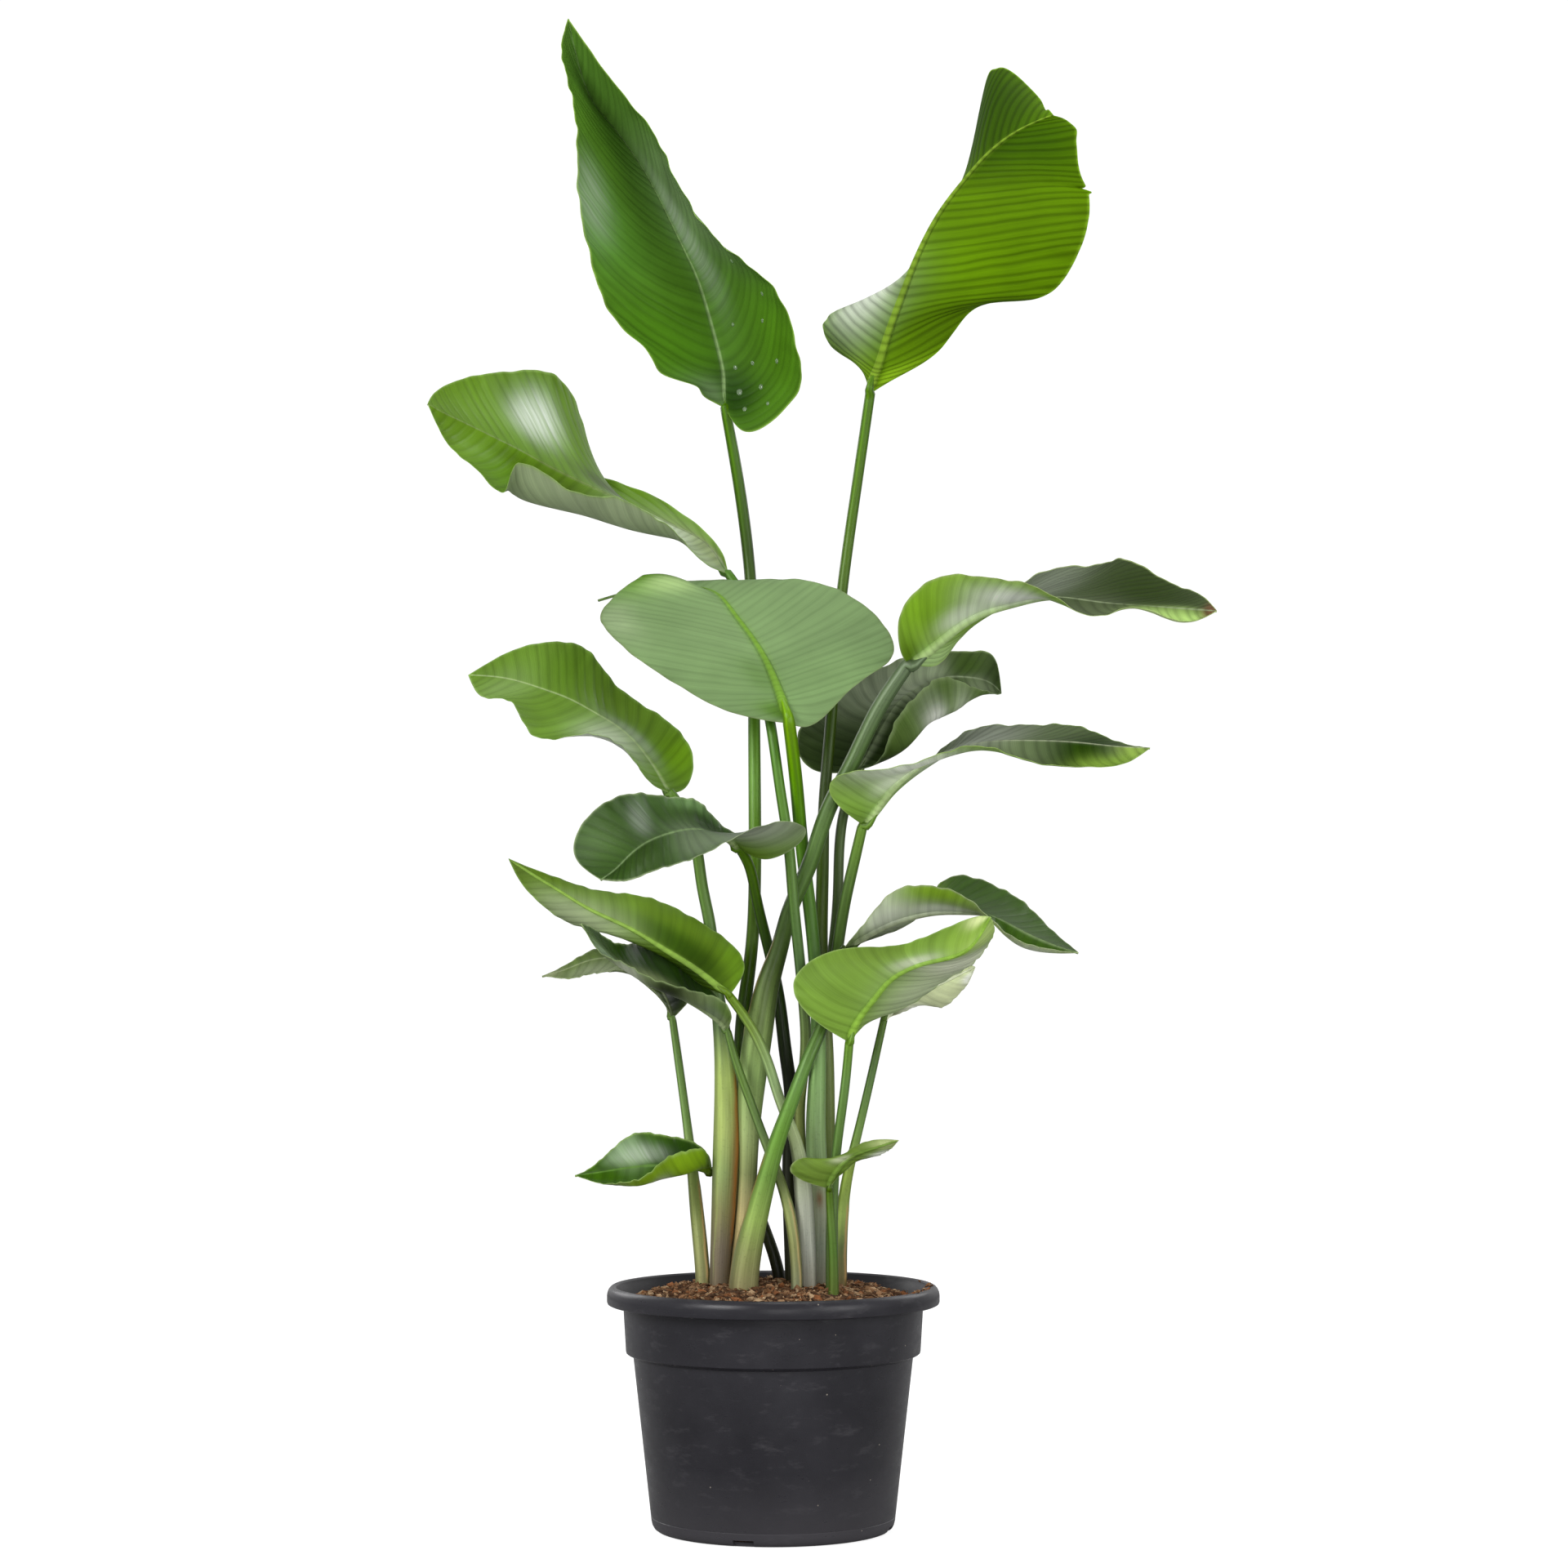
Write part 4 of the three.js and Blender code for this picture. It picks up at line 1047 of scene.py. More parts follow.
SHAPES: dict[str, LeafShape] = {
    "leaf_tall_left": LeafShape(
        stem=(
            (-35, 27, 226, 8.5), (-34, 27, 327, 8), (-32, 26, 414, 7.5), (-29, 27, 493, 7),
            (-22, 30, 549, 6.3), (-18, 38, 645, 6.2), (-19, 62, 782, 6), (-23, 94, 924, 5.8),
            (-39, 90, 1045, 5.6), (-48, 84, 1093, 5),
        ),
        rows=(
            (-49, 88, 1112, -66, 75, 1101, -28, 58, 1066),
            (-51, 90, 1135, -104, 45, 1122, 17, 32, 1092),
            (-61, 94, 1176, -152, 30, 1170, 27, 10, 1129),
            (-75, 100, 1223, -177, 22, 1217, 8, 4, 1186),
            (-92, 104, 1261, -190, 28, 1281, -33, 8, 1227),
            (-114, 110, 1307, -192, 38, 1345, -70, 18, 1271),
            (-135, 112, 1345, -200, 52, 1389, -104, 34, 1326),
            (-162, 112, 1382, -207, 66, 1427, -124, 50, 1368),
            (-185, 108, 1412, -211, 82, 1457, -160, 72, 1420),
        ),
        tip=(-206, 92, 1487),
        left_cup=(2, 4, 7, 8, 7, 6, 5, 3, 2),
        right_cup=(2, 6, 8, 8, 7, 6, 5, 4, 2),
        wave=3,
    ),
    "leaf_tall_right": LeafShape(
        stem=(
            (55, 14, 232, 7.5), (53, 12, 375, 6.8), (52, 12, 454, 6.5), (47, 14, 546, 6.2),
            (48, 18, 636, 6), (49, 22, 684, 5.8), (55, 30, 764, 5.6), (68, 45, 910, 5.4),
            (79, 45, 990, 5.2), (95, 34, 1100, 5),
        ),
        rows=(
            (97, 34, 1110, 115, 38, 1113, 89, 48, 1122),
            (103, 34, 1126, 164, 52, 1146, 64, 92, 1151),
            (113, 36, 1159, 201, 62, 1190, 49, 128, 1184),
            (127, 39, 1198, 259, 56, 1198, 74, 158, 1207),
            (143, 42, 1239, 295, 42, 1229, 146, 172, 1231),
            (162, 46, 1277, 308, 29, 1261, 182, 172, 1283),
            (188, 49, 1313, 309, 22, 1297, 205, 158, 1358),
            (216, 48, 1344, 300, 22, 1322, 222, 128, 1443),
            (244, 42, 1363, 295, 24, 1360, 253, 84, 1419),
        ),
        tip=(276, 30, 1375),
        left_cup=(1, 3, 6, 8, 8, 7, 6, 4, 2),
        right_cup=(1, 4, 6, 6, 4, 2, 3, 4, 2),
        wave=3,
    ),
    "leaf_upper_left": LeafShape(
        stem=(
            (29, 12, 234, 6), (26, 12, 368, 5.5), (26, 0, 411, 5.2), (30, -16, 447, 5.2),
            (31, -24, 471, 5.2), (29, -30, 504, 5.2), (25, -37, 546, 5.2), (19, -44, 604, 5.2),
            (15, -44, 651, 5.2), (7, -40, 705, 5), (-3, -28, 773, 5), (-17, 24, 844, 5),
            (-33, 78, 909, 4.8), (-45, 87, 928, 4.6),
        ),
        rows=(
            (-57, 88, 948, -68, 56, 935, -55, 108, 958),
            (-83, 86, 969, -101, 24, 969, -139, 160, 1021),
            (-104, 86, 979, -123, 12, 980, -180, 185, 1039),
            (-124, 86, 989, -145, 4, 990, -187, 196, 1058),
            (-172, 84, 1011, -194, -6, 1000, -203, 206, 1116),
            (-223, 80, 1035, -250, -14, 1023, -237, 188, 1146),
            (-247, 78, 1048, -263, 0, 997, -262, 172, 1145),
            (-269, 76, 1059, -284, 10, 1016, -286, 154, 1140),
            (-305, 70, 1076, -316, 32, 1047, -321, 116, 1124),
            (-329, 64, 1087, -332, 48, 1072, -338, 84, 1108),
        ),
        tip=(-342, 60, 1094),
        left_cup=(3, 11, 18, 24, 25, 34, 12, 8, 6, 3),
        right_cup=(3, 8, 9, 10, 10, 9, 8, 7, 5, 2),
    ),
    "leaf_center": LeafShape(
        stem=(
            (44, -2, 235, 8.5), (45, -2, 290, 9.2), (41, -4, 376, 9.8), (43, -4, 447, 8),
            (40, -3, 546, 6.4), (34, -5, 604, 6.4), (28, -13, 651, 6.4), (22, -34, 714, 6.4),
            (15, -62, 770, 6),
        ),
        rows=(
            (12, -56, 781, 30, -58, 767, 1, -56, 772),
            (6, -45, 799, 73, -42, 803, -48, -44, 784),
            (-2, -31, 820, 111, -22, 831, -92, -28, 810),
            (-12, -14, 841, 114, -4, 859, -136, -10, 839),
            (-25, 4, 862, 88, 18, 891, -163, 10, 865),
            (-41, 24, 885, 43, 42, 913, -167, 22, 887),
            (-63, 45, 906, -18, 62, 921, -135, 32, 916),
            (-107, 66, 912, -79, 80, 920, -118, 56, 920),
        ),
        tip=(-175, 92, 901),
        left_cup=(1, 4, 6, 7, 6, 5, 3, 1),
        right_cup=(1, 4, 7, 8, 7, 6, 7, 4),
        wave=2.5,
    ),
    "leaf_right_long": LeafShape(
        stem=(
            (-34, 2, 230, 9), (-28, 2, 290, 9.5), (-24, 0, 368, 10), (-18, -8, 451, 14),
            (-11, -12, 494, 13), (-4, -14, 526, 11), (6, -17, 557, 8.6), (15, -21, 590, 7.8),
            (34, -28, 635, 7.8), (53, -33, 690, 7.8), (73, -36, 729, 7.8), (100, -39, 784, 7.6),
            (129, -42, 828, 6.8),
        ),
        rows=(
            (137, -42, 834, 152, -25, 827, 122, -58, 837),
            (151, -45, 844, 171, 5, 842, 118, -78, 863),
            (170, -50, 859, 199, 50, 882, 132, -92, 890),
            (198, -52, 876, 239, 78, 911, 164, -98, 908),
            (232, -55, 886, 280, 85, 932, 206, -100, 907),
            (268, -55, 892, 323, 80, 939, 250, -100, 894),
            (310, -58, 887, 348, 62, 939, 297, -95, 870),
            (349, -62, 883, 383, 30, 916, 337, -98, 879),
            (387, -66, 880, 408, -15, 901, 382, -92, 865),
        ),
        tip=(422, -70, 877),
        left_cup=(1, 4, 7, 8, 8, 8, 7, 5, 2),
        right_cup=(1, 3, 5, 6, 6, 6, 4, 2, 6),
        wave=2.5,
    ),
    "leaf_right_dark": LeafShape(
        stem=(
            (37, 43, 232, 6.5), (42, 46, 366, 6), (45, 47, 453, 5.5), (57, 36, 546, 5.2), (63, 32, 611, 5),
            (68, 32, 684, 5), (82, 37, 730, 4.6),
        ),
        rows=(
            (89, 42, 741, 45, 74, 730, 101, 26, 738),
            (102, 48, 764, 23, 100, 755, 115, 8, 765),
            (117, 53, 790, 34, 116, 785, 131, -2, 794),
            (138, 56, 810, 91, 120, 830, 160, -6, 816),
            (163, 56, 822, 146, 114, 849, 186, 0, 813),
            (191, 54, 823, 193, 98, 852, 206, 16, 807),
            (211, 50, 818, 217, 72, 846, 217, 32, 804),
        ),
        tip=(224, 44, 806),
        left_cup=(2, 6, 8, 8, 7, 5, 2),
        right_cup=(6, 26, 32, 36, 28, 12, 4),
    ),
    "leaf_right_mid": LeafShape(
        stem=(
            (50, 31, 232, 6.5), (49, 32, 366, 6), (49, 33, 454, 5.8), (55, 28, 501, 5.6),
            (61, 16, 546, 5.6), (70, -1, 604, 5.6), (78, -12, 640, 5.4), (86, -20, 675, 5),
        ),
        rows=(
            (93, -22, 683, 99, 0, 682, 73, -40, 683),
            (104, -25, 698, 122, 38, 715, 53, -58, 706),
            (122, -28, 718, 148, 68, 740, 67, -74, 721),
            (147, -30, 736, 173, 84, 757, 107, -80, 726),
            (173, -30, 748, 204, 90, 774, 151, -76, 740),
            (208, -30, 755, 246, 84, 779, 193, -70, 747),
            (249, -32, 756, 291, 64, 775, 239, -75, 735),
            (292, -35, 754, 322, 32, 764, 287, -75, 729),
            (327, -38, 750, 347, 0, 753, 329, -60, 730),
        ),
        tip=(361, -40, 748),
        left_cup=(1, 4, 6, 7, 7, 7, 6, 4, 2),
        right_cup=(1, 3, 5, 6, 6, 6, 8, 9, 4),
    ),
    "leaf_left_mid": LeafShape(
        stem=(
            (-52, 0, 229, 9.6), (-49, 0, 290, 11), (-46, 0, 353, 12.6), (-47, 2, 447, 10),
            (-51, 5, 486, 8), (-57, 10, 533, 6.4), (-62, 15, 581, 5.8), (-69, 15, 616, 5.6),
            (-81, 11, 676, 5.4), (-99, 8, 706, 4.8),
        ),
        rows=(
            (-105, 8, 715, -117, -10, 714, -85, 26, 713),
            (-114, 8, 730, -130, -34, 731, -78, 40, 739),
            (-128, 8, 749, -144, -56, 750, -89, 50, 763),
            (-148, 6, 769, -172, -74, 758, -117, 54, 789),
            (-170, 4, 783, -199, -80, 756, -157, 54, 818),
            (-196, 2, 797, -230, -74, 761, -181, 50, 846),
            (-223, 0, 807, -250, -50, 789, -206, 40, 857),
            (-258, -5, 817, -279, -26, 798, -251, 18, 847),
        ),
        tip=(-295, -10, 820),
        left_cup=(1, 4, 6, 7, 7, 6, 4, 2),
        right_cup=(1, 4, 6, 7, 7, 6, 4, 2),
    ),
    "leaf_left_glossy": LeafShape(
        stem=(
            (18, 26, 239, 6.8), (16, 25, 304, 6.8), (16, 24, 367, 6.8), (17, 22, 414, 6.6),
            (12, 18, 454, 6.4), (6, 14, 503, 6), (-3, 9, 549, 5.4), (-10, 3, 577, 5.2), (-17, -8, 608, 5),
            (-24, -22, 637, 5), (-33, -36, 653, 4.8),
        ),
        rows=(
            (-37, -40, 657, -3, -50, 641, -33, -20, 664),
            (-44, -48, 662, 30, -66, 663, -45, -22, 672),
            (-58, -62, 667, 8, -92, 677, -63, -36, 687),
            (-79, -90, 669, -47, -128, 652, -82, -44, 701),
            (-101, -124, 663, -82, -158, 638, -114, -62, 701),
            (-120, -157, 653, -112, -180, 626, -146, -92, 700),
            (-134, -181, 640, -131, -194, 619, -174, -130, 678),
            (-145, -197, 628, -147, -202, 618, -183, -170, 642),
        ),
        tip=(-157, -208, 619),
        left_cup=(2, 5, 6, 6, 5, 4, 2, 1),
        right_cup=(1, 3, 5, 6, 6, 6, 4, 2),
    ),
    "leaf_left_low": LeafShape(
        stem=(
            (33, -24, 240, 8.5), (31, -26, 286, 9), (27, -31, 340, 8), (20, -37, 376, 6), (7, -42, 410, 5),
            (-4, -47, 444, 5), (-22, -50, 483, 4.8), (-42, -50, 511, 4.2),
        ),
        rows=(
            (-49, -48, 516, -34, -38, 522, -60, -42, 517),
            (-64, -44, 528, -28, -20, 541, -85, -28, 534),
            (-87, -36, 544, -51, -4, 568, -116, -12, 557),
            (-115, -26, 561, -93, 8, 595, -146, -2, 570),
            (-143, -15, 577, -132, 16, 606, -180, 8, 574),
            (-175, -5, 592, -168, 18, 613, -206, 12, 585),
            (-207, 4, 611, -204, 16, 622, -232, 12, 605),
            (-233, 8, 627, -231, 12, 632, -246, 12, 621),
        ),
        tip=(-257, 10, 643),
        left_cup=(1, 3, 5, 6, 5, 4, 2, 1),
        right_cup=(1, 3, 5, 6, 6, 4, 2, 1),
    ),
    "leaf_left_folded": LeafShape(
        stem=(
            (22, -40, 247, 5.4), (17, -40, 295, 5.4), (9, -38, 328, 5), (-7, -34, 370, 4.4),
            (-22, -33, 410, 4.2), (-37, -33, 452, 4), (-44, -34, 478, 3.6),
        ),
        rows=(
            (-49, -35, 485, -40, -54, 492, -42, -12, 496),
            (-63, -38, 496, -52, -70, 510, -67, 2, 522),
            (-85, -43, 509, -79, -82, 516, -94, 0, 546),
            (-110, -50, 521, -113, -90, 529, -127, 8, 558),
            (-133, -60, 534, -142, -96, 542, -150, -34, 562),
            (-156, -74, 551, -162, -98, 553, -168, -60, 573),
        ),
        tip=(-181, -92, 580),
        left_cup=(2, 5, 6, 6, 4, 2),
        right_cup=(1, 4, 5, 5, 4, 2),
        wave=1.5,
    ),
    "leaf_left_lowest": LeafShape(
        stem=(
            (-68, 10, 232, 7), (-74, 22, 298, 6.6), (-78, 32, 335, 5.6), (-84, 42, 383, 4.4),
            (-94, 54, 453, 4), (-99, 60, 487, 3.6),
        ),
        rows=(
            (-103, 57, 502, -112, 40, 509, -86, 78, 500),
            (-113, 53, 521, -126, 28, 524, -82, 88, 516),
            (-130, 48, 537, -144, 18, 534, -111, 92, 545),
            (-153, 40, 546, -165, 12, 534, -141, 82, 557),
            (-181, 32, 544, -186, 14, 528, -176, 58, 556),
            (-204, 26, 535, -205, 18, 527, -200, 38, 541),
        ),
        tip=(-225, 22, 529),
        left_cup=(2, 5, 6, 5, 3, 1),
        right_cup=(2, 5, 6, 5, 3, 1),
        wave=1.5,
    ),
    "leaf_base_left": LeafShape(
        stem=(
            (6, 50, 232, 6), (-7, 53, 278, 5.6), (-26, 53, 317, 5), (-44, 43, 333, 4.6),
            (-60, 26, 340, 4.2),
        ),
        rows=(
            (-70, 16, 344, -67, -12, 363, -63, 22, 356),
            (-84, 4, 347, -82, -34, 364, -77, 18, 368),
            (-106, -6, 348, -105, -52, 354, -107, 16, 376),
            (-131, -14, 347, -128, -58, 338, -136, 12, 376),
            (-154, -20, 344, -151, -52, 333, -159, 2, 360),
            (-174, -22, 341, -170, -38, 334, -176, -12, 345),
        ),
        tip=(-190, -24, 339),
        left_cup=(8, 15, 15, 12, 7, 3),
        right_cup=(1, 3, 5, 5, 3, 1),
        wave=1,
    ),
    "leaf_right_low": LeafShape(
        stem=(
            (56, -34, 237, 6), (56, -38, 293, 5.6), (60, -46, 363, 4.6), (68, -56, 425, 4.4),
            (72, -62, 467, 4.2),
        ),
        rows=(
            (75, -64, 478, 88, -56, 484, 52, -64, 479),
            (83, -68, 493, 113, -52, 495, 29, -62, 498),
            (94, -73, 507, 139, -48, 508, 19, -58, 523),
            (106, -79, 522, 159, -50, 521, 37, -56, 545),
            (122, -86, 534, 179, -58, 536, 76, -60, 557),
            (142, -94, 542, 196, -72, 548, 122, -72, 560),
            (167, -103, 548, 205, -92, 565, 164, -88, 576),
            (187, -111, 560, 207, -108, 576, 189, -104, 586),
        ),
        tip=(203, -118, 586),
        left_cup=(1, 3, 5, 6, 6, 5, 3, 1),
        right_cup=(1, 4, 6, 6, 5, 4, 3, 1),
        wave=1.5,
    ),
    "leaf_right_low_back": LeafShape(
        stem=(
            (64, -8, 244, 6.5), (66, -8, 298, 6), (72, -8, 340, 5), (79, -6, 369, 4.4), (93, -4, 427, 4),
            (107, 0, 488, 3.6),
        ),
        rows=(
            (114, 0, 496, 125, 12, 494, 107, 18, 508),
            (127, 0, 505, 145, 18, 502, 118, 30, 527),
            (144, 0, 514, 162, 14, 499, 139, 30, 541),
            (164, 0, 523, 183, 6, 515, 165, 20, 546),
            (181, -2, 531, 190, -2, 526, 184, 6, 543),
        ),
        tip=(195, -5, 538),
        left_cup=(1, 4, 5, 4, 2),
        right_cup=(1, 4, 5, 4, 2),
        wave=1,
    ),
    "leaf_right_arching": LeafShape(
        stem=(
            (-28, -34, 234, 13.8), (-20, -42, 285, 12), (-8, -50, 332, 9.6), (3, -56, 371, 8),
            (20, -60, 418, 6.6), (35, -56, 456, 6.4), (46, -47, 481, 6.2), (57, -34, 518, 6),
            (67, -28, 555, 5),
        ),
        rows=(
            (81, -30, 565, 91, -8, 563, 76, -48, 568),
            (104, -33, 577, 119, 27, 574, 92, -60, 587),
            (130, -36, 586, 147, 52, 594, 116, -70, 611),
            (157, -38, 591, 170, 62, 623, 143, -74, 617),
            (183, -40, 591, 200, 57, 626, 171, -74, 610),
            (207, -43, 588, 228, 47, 612, 199, -71, 590),
            (236, -46, 574, 251, 32, 594, 229, -68, 567),
            (264, -48, 561, 275, -3, 569, 258, -62, 556),
        ),
        tip=(291, -50, 552),
        left_cup=(1, 3, 4, 5, 6, 5, 4, 2),
        right_cup=(1, 2, 3, 4, 4, 3, 9, 7),
        wave=1.5,
    ),
    "leaf_base_right": LeafShape(
        stem=(
            (57, -62, 233, 5), (56, -64, 279, 4.4), (54, -65, 310, 4), (53, -66, 329, 3.6),
        ),
        rows=(
            (54, -68, 337, 61, -66, 340, 33, -66, 335),
            (58, -71, 345, 70, -66, 349, 16, -64, 346),
            (66, -74, 354, 82, -68, 359, 27, -64, 358),
            (78, -78, 362, 99, -74, 362, 53, -64, 355),
            (95, -82, 368, 110, -80, 367, 83, -74, 372),
        ),
        tip=(118, -86, 376),
        left_cup=(1, 3, 4, 3, 1),
        right_cup=(1, 4, 5, 4, 2),
        wave=1,
    ),
}


TOP = Face.UPPER
BACK = Face.UNDER
